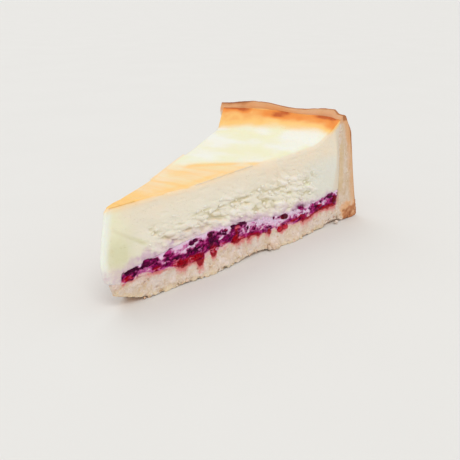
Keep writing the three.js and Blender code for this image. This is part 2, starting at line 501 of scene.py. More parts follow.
# %% Noise on points
def swell(points, sizes, layers=1):
    """Smooth noise of about -1 to 1; sizes is the swellings' size, or their sizes along x, y and z"""
    places = (points / np.array(sizes)).tolist()
    if layers == 1:
        return np.array([noise.noise(place) for place in places])
    return np.array([noise.fractal(place, 0.9, 2.0, layers) for place in places])


def lumps(points, sizes):
    """For each point: distance to its lump's middle, closeness to a border, the lump's own value"""
    found = [noise.voronoi(place) for place in (points / np.array(sizes)).tolist()]
    middle = np.array([distances[0] for distances, _ in found])
    border = np.array([distances[1] - distances[0] for distances, _ in found])
    value = np.array([noise.cell([part * 7.3 for part in near[0]]) for _, near in found])
    return middle, border, value


def bend(points, distance, sizes, shifts):
    """The points pushed about by noise, so that lumps found on them are less even"""
    return points + distance * np.column_stack([swell(points + shift, sizes) for shift in shifts])


test_places = np.random.default_rng(3).random((500, 3)) * 40
print("Smooth noise spreads over", np.round(np.ptp(swell(test_places, 3)), 2))

# %% [markdown]
# ## How far the fruit reaches
#
# On the real cut nothing ends at a clean line: berries have been pushed up into the quark in some places,
# quark has sunk into the fruit in others, and juice has run down into the pastry in blunt drips. The pieces
# keep their measured form, and these two curves say where the fruit's colour ends over and under them. The
# quark, the core and the pastry all read the same curves, so that the colours meet across the pieces. On
# the far cut the same places lie further along, which makes the two cuts differ.

# %% Reach of the fruit
# Each pair has the height over the layer's measured top, and the radius, in millimetres
FRUIT_TOP = [[-1.5, 1.8], [0.2, 2.4], [0.7, 3.2], [0.7, 5], [0.2, 7], [-0.2, 9], [-0.9, 9.8],
             [0.5, 10.6], [0.7, 12.5], [0.5, 14], [-0.5, 15], [-0.5, 16.2], [-1.3, 17.6], [-1.8, 18.6],
             [-0.8, 19.8], [0, 20.8], [0, 22], [-1.0, 23.2], [-1.6, 24.5], [-1.6, 29.6], [-0.7, 30.4],
             [-0.6, 34], [-1.3, 34.8], [-1.3, 38.4], [-0.3, 39], [-0.5, 42], [-1.3, 43.5], [-1.8, 45],
             [-1.8, 46.8], [-0.9, 47.4], [-1.1, 48.6], [-2, 49.2], [-2, 50], [0, 50.6], [0.1, 53.4],
             [0.2, 58], [-0.2, 59.2], [-0.8, 61], [-1.2, 66], [-0.9, 73.5], [-0.5, 77.5], [-0.3, 80.5],
             [-1.4, 84], [-0.2, 88.5], [-0.3, 90.5], [-1.6, 95], [-0.3, 98], [-0.4, 103], [-0.8, 105],
             [-0.3, 107.5], [-0.4, 112], [-1.2, 113.6], [-2.6, 114.6], [-4.5, 115.3]]
# Each pair has the depth under the layer's measured floor, and the radius
FRUIT_FOOT = [[-0.6, 2], [0.3, 3], [0.2, 6.4], [-0.9, 8], [-0.9, 13], [-0.2, 15], [0.1, 17.5],
              [-0.7, 21.3], [-0.4, 24], [1.0, 26.5], [1.1, 29.2], [-0.3, 31.2], [0.2, 34], [2.0, 34.9],
              [2.3, 35.6], [2.2, 36.7], [1.2, 37.4], [-1.7, 37.9], [-1.9, 40.5], [0.8, 41], [1.6, 41.6],
              [1.6, 43], [0.8, 43.6], [-1.4, 44.2], [-1.8, 47], [-1.3, 50], [0.5, 52.4], [1.5, 54],
              [0.5, 57.5], [1.5, 60.5], [0.4, 62.2], [1.2, 65], [0.2, 67.5], [0.8, 70], [1.5, 72],
              [-1.0, 73.4], [-1.0, 75.4], [1.0, 77], [1.0, 81], [0, 82.4], [-1.2, 83.4], [-0.9, 86],
              [-0.6, 88], [0, 90], [0.9, 92], [1.1, 94], [1.2, 96], [0.7, 98.5], [0.7, 103], [0.9, 108],
              [1.0, 112], [0.5, 114]]
# How far along the same fruit lies on the far cut
FAR_SHIFT = 31


def fruit_place(radius, across):
    """Which radius of the near cut a place takes its fruit from; past the crust it runs back again"""
    along = radius + FAR_SHIFT * ease(across, 0.3, 0.7)
    return np.where(along > INSIDE_FOOT, 2 * INSIDE_FOOT - along, along)


def over_fruit(along, height, points):
    """How far a height over the layer's top lies outside the fruit, in millimetres"""
    wandering = 0.8 * swell(points + 77, 3) + 0.7 * swell(points + 78, 1.5)
    return height - value_at_height(FRUIT_TOP, along) - wandering


def under_fruit(along, depth, points):
    """How far a depth under the layer's floor lies outside the fruit, in millimetres"""
    wandering = 0.8 * swell(points + 70, (2.4, 2.4, 4)) + 0.3 * swell(points + 71, (1.1, 1.1, 1.6))
    return depth - value_at_height(FRUIT_FOOT, along) - wandering


print("Fruit stands over its measured top by", value_at_height(FRUIT_TOP, sample), "mm at radii", sample)

# %% [markdown]
# ## From points to a Blender piece
#
# Each piece becomes one mesh object. Its masks are stored as point attributes, which a material can read by
# name. Every piece of this cake rides on the one body of the model, because food has no joints.

# %% Making pieces
def make_piece(name, shape, masks, material, replaces=None):
    """Turns points in millimetres, faces and masks into a Blender object"""
    mesh = bpy.data.meshes.new(name)
    mesh.from_pydata((shape["points"] * MM).tolist(), [], shape["faces"].tolist())
    mesh.shade_smooth()
    for label, values in masks.items():
        mesh.attributes.new(label, "FLOAT", "POINT").data.foreach_set("value", np.clip(values, 0, 1))
    mesh.materials.append(material)
    made = bpy.data.objects.new(name, mesh)
    bpy.context.collection.objects.link(made)
    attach(made, "root")
    if replaces:
        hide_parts(replaces)
    triangles = sum(len(face.vertices) - 2 for face in mesh.polygons)
    print(name, "has", triangles, "triangles and the masks", list(masks))


# %% [markdown]
# ## Shared finish: fine crumb
#
# Pastry, quark and loose crumbs all have a grain that is finer than any mesh should be. The group makes it
# from two noises of different size and a scatter of tiny pores. It puts out a height for a Bump node, and
# a shade that follows that height, which the materials use to darken the low grains and the pores as
# painted shade.

# %% Fine crumb group
def fine_crumb_group():
    group, given, result = new_group(
        "Fine crumb",
        {"Grain Size": 0.5, "Pore Size": 1.0, "Pore Share": 0.3, "Flatness": 1.0},
        {"Height": "Float", "Shade": "Float"},
    )
    places = add(group, "TexCoord").outputs["Object"]
    squash = add(group, "CombineXYZ", {"X": 1.0, "Y": 1.0, "Z": given["Flatness"]})
    flat_places = add(group, "VectorMath", {0: places, 1: squash.outputs[0]},
                      operation="MULTIPLY").outputs[0]
    grain = cloud(group, given["Grain Size"], 3, places=flat_places)
    wide = cloud(group, sums(group, "MULTIPLY", given["Grain Size"], 3.7), 2, places=flat_places)
    pores = add(group, "TexVoronoi", {"Vector": flat_places,
                                      "Scale": sums(group, "DIVIDE", 1 / MM, given["Pore Size"])})
    open_pore = sums(group, "SUBTRACT", 1, stretch(group, pores.outputs["Distance"], 0.12, 0.34))
    chosen = sums(group, "LESS_THAN", add(group, "SeparateColor", {
        "Color": pores.outputs["Color"]}).outputs[0], given["Pore Share"])
    pore = sums(group, "MULTIPLY", open_pore, chosen)
    rough = sums(group, "ADD", sums(group, "MULTIPLY", grain, 0.5), sums(group, "MULTIPLY", wide, 0.5))
    fill(group, result["Height"], sums(group, "SUBTRACT", rough, sums(group, "MULTIPLY", pore, 0.55)))
    # The shade follows the height: low grains and pores come out darker, as painted shade
    fill(group, result["Shade"], sums(group, "SUBTRACT", rough, sums(group, "MULTIPLY", pore, 0.35)))
    return group


def socket_names(group, side):
    return [item.name for item in group.interface.items_tree if item.in_out == side]


FINE_CRUMB = fine_crumb_group()
print("The crumb group gives", socket_names(FINE_CRUMB, "OUTPUT"))

# %% [markdown]
# ## Shared finish: oven browning
#
# The oven browns the top of the filling, the crust and the crumbs in the same way: pale, then golden, then
# brown, then almost burnt at the highest spots. One group does it from a browning mask, so that each
# material only names its four colours. The mask is disturbed by noise first, because real browning is
# patchy and streaky and never a clean ramp.

# %% Oven browning group
def browning_group():
    group, given, result = new_group(
        "Oven browning",
        {"Color": (1, 1, 1, 1), "Golden": (1, 0.6, 0.3, 1), "Brown": (0.6, 0.3, 0.1, 1),
         "Burnt": (0.3, 0.1, 0.04, 1), "Browning": 0.0, "Patch Size": 4.0, "Patchiness": 0.3},
        {"Color": "Color"},
    )
    patches = cloud(group, given["Patch Size"], 4)
    fine = cloud(group, sums(group, "MULTIPLY", given["Patch Size"], 0.22), 3)
    both = sums(group, "ADD", sums(group, "MULTIPLY", patches, 0.7), sums(group, "MULTIPLY", fine, 0.3))
    shift = sums(group, "MULTIPLY", sums(group, "SUBTRACT", both, 0.5), given["Patchiness"])
    # Nothing browns where the mask is empty
    reach = stretch(group, given["Browning"], 0.0, 0.2)
    amount = sums(group, "ADD", given["Browning"], sums(group, "MULTIPLY", shift, reach), clamped=True)
    golden = blend(group, stretch(group, amount, 0.0, 0.42), given["Color"], given["Golden"])
    brown = blend(group, stretch(group, amount, 0.38, 0.75), golden, given["Brown"])
    fill(group, result["Color"], blend(group, stretch(group, amount, 0.7, 1.15), brown, given["Burnt"]))
    return group


BROWNING = browning_group()
print("The browning group takes", socket_names(BROWNING, "INPUT"))

# %% [markdown]
# ## Shared finish: berry juice
#
# Cranberry juice soaks into the quark above as a lilac tint and into the pastry below as red and pink
# streaks. Both stains run from a thin, pale colour to a deep one, so each material only names the two. The
# group mixes them into any colour from a juice mask, with fine noise so that the stain follows the grain,
# and puts out how wet the place is.

# %% Berry juice group
def juice_group():
    group, given, result = new_group(
        "Berry juice",
        {"Color": (1, 1, 1, 1), "Thin": (0.6, 0.4, 0.5, 1), "Deep": (0.3, 0.02, 0.06, 1), "Juice": 0.0,
         "Grain": 1.2, "Unevenness": 0.7},
        {"Color": "Color", "Wetness": "Float"},
    )
    grain = cloud(group, given["Grain"], 3)
    shift = sums(group, "MULTIPLY", sums(group, "SUBTRACT", grain, 0.5), given["Unevenness"])
    reach = stretch(group, given["Juice"], 0.0, 0.25)
    juice = sums(group, "ADD", given["Juice"], sums(group, "MULTIPLY", shift, reach), clamped=True)
    thin = blend(group, stretch(group, juice, 0.02, 0.5), given["Color"], given["Thin"])
    fill(group, result["Color"], blend(group, stretch(group, juice, 0.45, 0.9), thin, given["Deep"]))
    fill(group, result["Wetness"], juice)
    return group


JUICE = juice_group()
print("The juice group gives", socket_names(JUICE, "OUTPUT"))

# %% [markdown]
# ## Quark filling: form
#
# Baked quark is soft and fine. Where the knife passes through its upper part it leaves a nearly smooth
# face, and lower down, over the fruit, it tears into flat curds with darker valleys between them. Sculpting
# by hand could make such a face, but cell noise in two sizes gives curds on both cuts, also on the one that
# the camera does not see. They slant down towards the crust. The long creases are listed by place, as
# chance would not put them there. The block below has about three lines for each millimetre at the cuts.

# %% Quark filling: form
QUARK_STEPS = (330, 36, 76)
# Before these radii the quark's underside lies on the pastry, after them on the cranberries
BARE_FRONT = (1.7, 4.0)
OVER_TIP = -2.4
# How deep neighbouring pieces reach into each other, so that no gap shows between them
SINK = 0.15


def quark_shape(along, across, through):
    low_radius = between(OVER_TIP, INSIDE_FOOT, along)
    high_radius = between(0, INSIDE_FOOT, along)
    on_layer = ease(low_radius, *BARE_FRONT)
    low = between(layer_floor(low_radius, across), layer_ceiling(low_radius, across), on_layer) - SINK
    z = between(low, filling_top(high_radius, across), through)
    front = -value_at_height(TIP_OUTLINE, z)
    return between(front, value_at_height(CRUST_INSIDE, z) + SINK, along), across, z


quark = block(np.linspace(0, 1, QUARK_STEPS[0] + 1), close_at_cuts(QUARK_STEPS[1]),
              np.linspace(0, 1, QUARK_STEPS[2] + 1), quark_shape)
print("The filling stands", round(quark["z"].max(), 1), "mm high on", len(quark["points"]), "points")

# %% Quark filling: torn curds
# The torn part: the height where it ends, how softly, and the radii between which it starts and ends
CRUMBLY_TOP = 26.0
CRUMBLY_FADE = 5
CRUMBLY_ALONG = (6, 20, 94, 106)
# Each layer of curds has its lumps' sizes and their heights near the tip and near the crust
CURDS = [((6, 6, 2.1), 1.2, 1.2), ((2.9, 2.9, 1.3), 0.42, 0.5)]
CURD_SLANT = 0.3
CURD_GROUND = -0.12
# Long creases that the knife tore open: each has its radius, its height, two half widths and a depth
CREASES = [(15.5, 23.4, 1.6, 0.5, 0.5), (17.5, 22, 2.6, 0.6, 0.6), (20, 19.3, 2, 0.45, 0.5),
           (23, 18.8, 2.4, 0.6, 0.8), (24.4, 17.1, 1.6, 0.6, 0.6), (27, 22.5, 2.2, 0.5, 0.7),
           (34, 23.8, 3, 0.4, 0.7), (38.5, 24.4, 3, 0.45, 0.9), (43.5, 22.6, 1.8, 0.5, 0.5),
           (47.3, 23.8, 2.2, 0.45, 0.7), (52.6, 24.3, 2.5, 0.5, 0.9), (58.6, 24.3, 2.2, 0.6, 0.7),
           (59, 21.8, 1.6, 0.5, 0.5), (63.4, 25.6, 1.8, 0.5, 0.5), (67.4, 23.1, 1.5, 0.5, 0.6),
           (70, 20.2, 2.8, 0.9, 0.7), (76, 23.7, 3.6, 0.5, 0.7), (82.4, 20.5, 2.4, 0.5, 0.5),
           (88, 22.4, 2.4, 0.5, 0.4), (31, 19.8, 2.6, 0.5, 0.6), (40, 20.8, 2.4, 0.5, 0.5)]
# How round the top's edge is: each pair has millimetres and a radius
SOFT_EDGE = [[0.9, 0], [1.1, 30], [1.4, 55], [2.6, 75], [2.6, 98], [1.2, 108], [0.6, 114]]


def torn_curds(points, radius):
    """Relief of the curds: domes on slanting lumps of cell noise, over ground that waves slowly"""
    bent = bend(points, 0.9, (3, 3, 2), (5, 17, 29))
    bent[:, 2] += CURD_SLANT * radius
    torn = CURD_GROUND + 0.4 * swell(points + 6, (9, 9, 4))
    for layer, (sizes, near_tip, near_crust) in enumerate(CURDS):
        height = between(near_tip, near_crust, ease(radius, 40, 85))
        middle, border, value = lumps(bent + 11 * layer, sizes)
        dome = 0.85 * (0.2 - 1.1 * middle ** 2)
        torn = torn + height * (dome + 0.2 * value - 0.06 * fade(border, 0, 0.3))
    return torn


def quark_relief(piece):
    """How far the quark stands out, painted shade in its cracks, painted highlight on its highest curds"""
    points, radius, across, z = places_of(piece)
    on_cut = fade(from_cut(radius, across, z), 0.1, 0.9)
    limit = between(CRUMBLY_TOP - 1, CRUMBLY_TOP + 3, ease(radius, 40, 75))
    limit = limit + 3.5 * swell(points, (14, 14, 50))
    crumbly = on_cut * fade(z, limit - CRUMBLY_FADE, limit + CRUMBLY_FADE)
    crumbly *= ease(radius, *CRUMBLY_ALONG[:2]) * fade(radius, *CRUMBLY_ALONG[2:])
    opened = found_at(CREASES, fruit_place(radius, across), z + 0.6 * swell(points + 9, 3))
    torn = torn_curds(points, radius) - opened
    wide = 0.16 * swell(points, (11, 11, 5)) + 0.06 * swell(points, (1.6, 1.6, 1.1))
    skin = 0.1 * swell(points + 80, 9) * (1 - on_cut)
    relief = crumbly * torn + on_cut * wide + skin
    # Faint scratches on the smooth part
    faint = on_cut * (1 - crumbly) * ease(radius, 4, 18) * fade(radius, 98, 108)
    relief -= 0.14 * faint * ease(-swell(points + 90, (4.5, 4.5, 1.2)), 0.2, 0.5)
    # Near the top, the crust and the tip's front edge the relief fades out
    top = filling_top(np.clip(radius, 0, INSIDE_FOOT), across)
    relief *= ease(top - z, -0.1, 1.2) * on_cut + (1 - on_cut)
    relief *= 1 - 0.9 * ease(radius, INSIDE_FOOT - 3.5, INSIDE_FOOT - 0.5) * on_cut
    relief *= ease(behind_tip(radius, z), 0, 3)
    # Beside the fruit and the pastry the faces lie flush
    low = np.where(radius > LAYER_START, layer_ceiling(radius, across), layer_floor(radius, across))
    relief *= 1 - 0.85 * fade(z - low, 0, 1.0) * on_cut
    # Painted shade: the valleys between the curds and the listed creases get a darker olive colour
    depth = np.maximum(crumbly * fade(torn, -1.2, -0.4), on_cut * np.clip(opened, 0, 0.9))
    # The last value is a painted highlight on the highest curds
    return relief, depth, crumbly * ease(torn, -0.35, 0.2)


quark_top = filling_top(np.clip(quark["radius"], 0, INSIDE_FOOT), quark["across"])
round_edge(quark, np.clip(quark_top - quark["z"], 0, None), value_at_height(SOFT_EDGE, quark["radius"]))
quark_out, quark_crevice_shade, quark_curd_highlight = quark_relief(quark)
carve(quark, quark_out)
print("The torn curds reach from", round(quark_out.min(), 2), "to", round(quark_out.max(), 2), "mm")

# %% [markdown]
# ## Quark filling: browning and juice
#
# The top is cream white. It turns golden at the tip, where the browned patch ends in streaks, and again on
# the band that climbs the crust, with a few dark spots where that band meets the pastry. All of it goes
# into one browning mask. A second mask holds the juice that rises from the cranberries: the berries
# themselves, a haze around them and a few deep lilac places. The others are quieter. One marks the damp,
# slightly green quark at the tip, with a line that the knife drew there. The rest mark the worn edge of the
# top, the cooler quark low down near the crust, and a beige strip beside the crust. Three masks hold painted
# light: painted shade in the crevices between the torn curds, which also carries the knife's line and a
# darker patch low on the tip, a painted highlight on the highest curds, and a painted highlight along the
# tip's front edge.

# %% Quark filling: masks
# The border of the golden patch and the start of the band: each pair has a radius and a share across
PATCH_END = [[69, 0], [65.5, 0.25], [61, 0.5], [57, 0.75], [54, 1]]
BAND_START = [[104.2, 0], [103.6, 0.3], [103.4, 0.6], [104.2, 1]]
# Each streak has its start and its end, both as a share across and a radius, its width and its strength
STREAKS = [((0.2, 60.5), (0.7, 50.5), 2.6, 0.17), ((-0.02, 66), (0.12, 63), 2.4, 0.16)]
# Each spot has its radius, its share across, its two half widths and its strength
SPOTS = [(114.2, 0.82, 1.7, 0.045, 0.62), (114.6, 0.93, 1.3, 0.09, 0.5), (111.7, 0.55, 0.9, 0.03, 0.2),
         (112.4, 0.52, 1.0, 0.035, 0.3), (113.3, 0.5, 0.9, 0.03, 0.38), (114.1, 0.47, 0.8, 0.03, 0.44),
         (112.6, 0.5, 2.6, 0.09, 0.2), (113.9, 0.13, 1.2, 0.08, 0.6), (114, 0.05, 0.6, 0.04, 0.2),
         (110.5, 0.03, 2.6, 0.06, 0.08)]


def top_browning(radius, across, z, points):
    """Browning of the filling's top, from pale to golden to brown"""
    border = value_at_height(PATCH_END, across) + 3 * swell(points, (5, 14, 14))
    patch = fade(radius, border - 17, border + 3)
    streaky = 0.05 * swell(points, (2.6, 17, 9), 3) + 0.05 * swell(points + 30, (6, 30, 9))
    amount = patch * (0.27 + 0.13 * hill(radius, 3, 15) + streaky)
    for (first_across, first_radius), (last_across, last_radius), width, strength in STREAKS:
        line = np.interp(across, (first_across, last_across), (first_radius, last_radius))
        inside = ease(across, first_across - 0.08, first_across + 0.04)
        inside = inside * fade(across, last_across - 0.04, last_across + 0.1)
        amount = amount + strength * inside * hill(radius, line, width)
    near_edge = hill(across * SLICE_ANGLE * (radius - apex(z)), 2.2, 1.5)
    broken = ease(swell(points + 44, (9, 4, 4)), -0.25, 0.3)
    amount = amount + 0.06 * near_edge * broken * ease(radius, 10, 26) * fade(radius, 50, 66)
    amount = amount + 0.06 * hill(radius, 74, 13)
    start = value_at_height(BAND_START, across) + 1.2 * swell(points + 26, (30, 12, 12))
    band = 0.06 * ease(radius, start - 4.5, start) + 0.28 * ease(radius, start, start + 4)
    band = band + 0.28 * ease(radius, start + 2.5, start + 8.5)
    patches = 1 + 0.35 * swell(points + 52, (5, 8, 9), 3)
    return amount + band * patches + found_at(SPOTS, radius, across)


# Deep lilac places just over the fruit: each has its radius, its height, two half widths and a strength
LILACS = [(10, 15.6, 3, 1.2, 0.2), (89.6, 13.5, 2.2, 1.1, 0.7), (86, 12.6, 2.2, 1.0, 0.4),
          (73.8, 13.2, 1.2, 1.0, 0.25), (93, 13.5, 1.6, 1.2, 0.35), (98.5, 13.4, 2, 0.8, 0.3),
          (108, 14.2, 3, 0.8, 0.15), (69, 13.4, 2.4, 0.8, 0.25), (63.5, 14.6, 2, 0.8, 0.3),
          (55, 17, 3, 0.8, 0.12), (44, 16.3, 2, 0.9, 0.2), (36.4, 15.4, 2, 1.0, 0.3),
          (29, 14.8, 2, 0.9, 0.1), (22.5, 15.6, 2, 0.7, 0.1), (16, 14, 2, 1.0, 0.25),
          (66, 15.4, 3.4, 1.2, 0.25), (23.3, 17.1, 1.2, 0.35, 0.5), (76, 12.8, 2, 0.8, 0.2)]
# How far the lilac tint rises over the fruit: each pair has millimetres and a radius
HAZE = [[3.5, 2], [5.5, 10], [5.5, 22], [5, 34], [5, 55], [6, 66], [6.5, 88], [5, 96], [3.4, 102],
        [2.6, 113]]
# A faint olive line that the knife drew on the smooth tip: each pair has a radius and a height
SCAR = [[0.5, 27.1], [6.4, 23.3], [12.5, 19.6]]
# How wide the quark is beige beside the crust: each pair has millimetres and a height
PALE_STRIP = [[5.5, 14], [4.4, 20], [2.2, 26], [1.8, 34], [3, 38], [4, 41]]


def quark_juice(radius, across, z, points):
    """Juice in the quark: berries that reach up into it, a haze around them and a blush at the tip"""
    inner = np.clip(radius, 0, INSIDE_FOOT)
    over_layer = z - layer_ceiling(inner, across)
    along = fruit_place(inner, across)
    outside = over_fruit(along, over_layer, points)
    started = ease(radius, LAYER_START - 0.8, LAYER_START + 0.8)
    reach = value_at_height(HAZE, along) * (1 + 0.7 * swell(points + 12, (4, 4, 3)))
    haze = np.clip(1 - outside / np.maximum(reach, 0.5), 0, 1) * started
    lilac = found_at(LILACS, along, z + 0.8 * swell(points + 33, 1.6))
    berry = fade(outside, -0.3, 0.4) * started
    berry = berry * np.clip(0.75 + 0.9 * swell(points + 19, (3.6, 3.6, 1.6)), 0.4, 1)
    tint = fade(over_layer, 1, 9) * fade(radius, 36, 58) * ease(radius, 8, 18)
    tip_blush = fade(radius, 6, 16) * fade(z, 12, 18.5)
    return np.maximum.reduce([0.38 * haze + lilac, 0.95 * berry, 0.2 * tint, 0.26 * tip_blush])


def quark_browning(radius, across, z, points):
    """Browning of the top, which runs a little way down the cuts and is scraped off at their edge"""
    below_top = filling_top(np.clip(radius, 0, INSIDE_FOOT), across) - z
    skin = 0.4 + 0.9 * hill(radius, 24, 16) * ease(swell(points + 47, 5), -0.35, 0.15)
    fading = np.maximum(fade(below_top, 0.02, 0.6 * skin), 0.5 * fade(below_top, 0, 3.2))
    scraped = fade(from_cut(radius, across, z), 0.05, 0.7) * fade(below_top, 0, 0.6)
    scraped = scraped * ease(radius, 10, 24) * fade(radius, 75, 90)
    scraped = scraped * ease(swell(points + 41, (5, 3, 3)), -0.4, 0.1)
    return top_browning(radius, across, z, points) * fading * (1 - 0.6 * scraped)


def quark_masks(piece, crevice_shade_and_marks, curd_highlight):
    points, radius, across, z = places_of(piece)
    beside_cut = from_cut(radius, across, z)
    on_cut = fade(beside_cut, 0.2, 1)
    over_layer = z - layer_ceiling(np.clip(radius, 0, INSIDE_FOOT), across)
    scar = hill(z - np.interp(radius, *np.transpose(SCAR)), 0, 1.1)
    scar = on_cut * scar * ease(radius, -1.5, 1.5) * fade(radius, 10, 16)
    damp = fade(radius + 0.3 * (z - 20), 3, 13) * (1 - 0.6 * curd_highlight) * ease(z, 12, 17)
    low_tip = fade(radius, 6, 16) * fade(z, 13, 20) * ease(behind_tip(radius, z), 1, 5)
    from_crust = value_at_height(CRUST_INSIDE, z) - radius
    return {
        "browning": quark_browning(radius, across, z, points),
        "juice": quark_juice(radius, across, z, points),
        # Painted shade in the crevices between the curds, with the knife's line and a darker patch low on the
        # tip
        "crevice_shade_and_marks": np.maximum.reduce([crevice_shade_and_marks, 0.3 * low_tip * on_cut, 0.45 * scar]),
        # Painted highlight on the highest curds
        "curd_highlight": curd_highlight,
        "damp": np.maximum(damp, 0.9 * scar),
        # Painted highlight along the tip's front edge
        "edge": fade(behind_tip(radius, z), 0.4, 3.0),
        "worn": fade(beside_cut, 0.4, 1.6) * fade(radius, 66, 82),
        "cool": on_cut * ease(radius, 84, 102) * fade(z, 26, 34),
        "by_crust": on_cut * fade(from_crust, 0.8, value_at_height(PALE_STRIP, z)),
        "level": over_layer / (BACK_HEIGHT - CEILING_MEAN),
    }


quark_mask_values = quark_masks(quark, quark_crevice_shade, quark_curd_highlight)
browned = quark_mask_values["browning"] > 0.1
print("Browned share of the filling's points:", round(float(browned.mean()), 3))

# %% [markdown]
# ## Quark filling: material
#
# Quark is milky: some light enters it and comes out a little further on, which softens the curds. The
# subsurface weight gives that. The colour starts with warm cream high on the cut and a cooler, whiter cream
# low down. It turns to a dull olive beige as painted shade in the cracks and pores, to rosy white as a
# painted highlight on the highest curds, to a greenish cream at the damp tip and to near white as a painted
# highlight along the tip's front edge. The skin on top, found by the direction that its surface faces, has
# whites of its own. Browning and juice come from the shared groups.

# %% Quark filling: material
def quark_material():
    material, tree, shader = new_material("baked quark")
    cream = blend(tree, stretch(tree, mask(tree, "level"), 0.3, 0.9), picked(243, 237, 220),
                  picked(244, 228, 204))
    cream = blend(tree, stretch(tree, cloud(tree, 7, 3), 0.35, 0.7, 0.0, 0.6), cream, picked(239, 231, 211))
    damp = stretch(tree, cloud(tree, 6, 3, squash=(1, 1, 0.6)), 0.25, 0.6, 0.35, 1.0)
    greenish = blend(tree, stretch(tree, mask(tree, "level"), 0.35, 0.7), picked(227, 224, 187),
                     picked(243, 240, 208))
    cream = blend(tree, sums(tree, "MULTIPLY", mask(tree, "damp"), damp), cream, greenish)
    cream = blend(tree, mask(tree, "cool"), cream, picked(232, 230, 217))
    cream = blend(tree, mask(tree, "by_crust"), cream, picked(226, 212, 192))
    # Painted highlight: near white along the tip's front edge
    cream = blend(tree, mask(tree, "edge"), cream, picked(244, 247, 235))
    facing_up = add(tree, "SeparateXYZ", {0: add(tree, "NewGeometry").outputs["Normal"]}).outputs["Z"]
    white_skin = blend(tree, stretch(tree, cloud(tree, 16, 2), 0.35, 0.65), picked(242, 243, 232),
                       picked(239, 239, 204))
    white_skin = blend(tree, mask(tree, "worn"), white_skin, picked(247, 226, 196))
    cream = blend(tree, stretch(tree, facing_up, 0.45, 0.85), cream, white_skin)
    crumb = use_group(tree, FINE_CRUMB, {"Grain Size": 0.42, "Pore Size": 1.1, "Pore Share": 0.22,
                                         "Flatness": 1.7})
    # Painted shade in the low grains and pores of the fine crumb
    cream = blend(tree, stretch(tree, crumb["Shade"], 0.1, 0.5, 0.15, 0.0), cream, picked(214, 200, 164))
    # Painted shade: dull olive beige in the crevices between the curds and in the creases
    cream = blend(tree, stretch(tree, mask(tree, "crevice_shade_and_marks"), 0.1, 0.9, 0.0, 0.75), cream,
                  picked(212, 201, 162))
    # Painted highlight: rosy white on the highest curds
    cream = blend(tree, stretch(tree, mask(tree, "curd_highlight"), 0.2, 1.0, 0.0, 0.8), cream,
                  picked(250, 242, 234))
    baked = use_group(tree, BROWNING, {
        "Color": cream, "Golden": picked(255, 204, 124), "Brown": picked(243, 148, 62),
        "Burnt": picked(178, 60, 0), "Browning": mask(tree, "browning"), "Patch Size": 5.0,
        "Patchiness": 0.12})
    stained = use_group(tree, JUICE, {
        "Color": baked["Color"], "Thin": picked(212, 182, 198), "Deep": picked(104, 8, 70),
        "Juice": mask(tree, "juice"), "Grain": 1.6, "Unevenness": 0.4})
    fill(tree, shader.inputs["Base Color"], stained["Color"])
    dry = stretch(tree, mask(tree, "damp"), 0, 1, 0.62, 0.5)
    fill(tree, shader.inputs["Roughness"], sums(tree, "SUBTRACT", dry, sums(
        tree, "MULTIPLY", stained["Wetness"], 0.15)))
    add_bump(tree, shader, crumb["Height"], 0.55, 0.3)
    set_shader(shader, {"Specular IOR Level": 0.35, "Subsurface Weight": 0.2,
                        "Subsurface Radius": (1.0, 0.75, 0.5), "Subsurface Scale": 1.1 * MM})
    return material


make_piece("quark", quark, quark_mask_values, quark_material(), "quark_filling")

# %% [markdown]
# ## Pastry case: form
#
# Shortcrust is dry and sandy. The base and the upright crust are one piece, baked against the tin, so its
# outside is even with shallow pits, and its cuts are crumbly. The lower edge of each cut has broken away in
# places, and the tip has curled up. The block follows the base and then turns up into the crust, as the
# measured solid does, and only near the cuts is its underside eaten away, so that it still stands flat.

# %% Pastry case: form
BASE_STEPS = 290
CRUST_STEPS = 112
CASE_ACROSS = 54
CASE_THROUGH = 26
TIP_LIFT = 5
LIFTED_LENGTH = 19
LIFT_CURVE = 1.7
UNDER_TIP = 0.5
# The outside of the crust: each pair has a radius and a height
CRUST_OUTSIDE = [[129.4, 0], [130.5, 1.6], [129.6, 5], [128.5, 9.5], [126.7, 19], [124.7, 28.5], [123, 35],
                 [121.8, 40], [119.6, 44]]
FOOT_SHARE = 0.12
CORNER_SHARE = 0.3
CROWN = 2.6
# Where the lower edge broke away: each chip has its middle, its width and its depth
CHIPS = [(64, 6.5, 1.2), (112.6, 5.6, 2.0), (30, 3, 0.5), (94, 2.5, 0.45)]
DENT = 0.5


def curve_point(outline, share):
    """A smooth curve through the outline's points, read at shares of the way"""
    corners = np.array(outline, float)
    place = share * (len(corners) - 1)
    start = np.clip(place.astype(int), 0, len(corners) - 2)
    part = (place - start)[:, None]
    before, first, second, after = (corners[np.clip(start + step, 0, len(corners) - 1)]
                                    for step in (-1, 0, 1, 2))
    leave = (second - before) / 2
    arrive = (after - first) / 2
    cubic = 2 * first - 2 * second + leave + arrive
    square = 3 * second - 3 * first - 2 * leave - arrive
    return ((cubic * part + square) * part + leave) * part + first


def tip_curl(radius):
    """How high the underside of the tip has curled up"""
    return TIP_LIFT * np.clip(1 - radius / LIFTED_LENGTH, 0, 1) ** LIFT_CURVE


def underside(radius, across, rough):
    """The curl at the tip, and the crumbled edge that fades out a few millimetres behind each cut"""
    near_cut = hill(from_cut(radius, across, 0 * radius), 0, 1.7)
    return tip_curl(radius) + near_cut * (hills(CHIPS, radius) + rough)


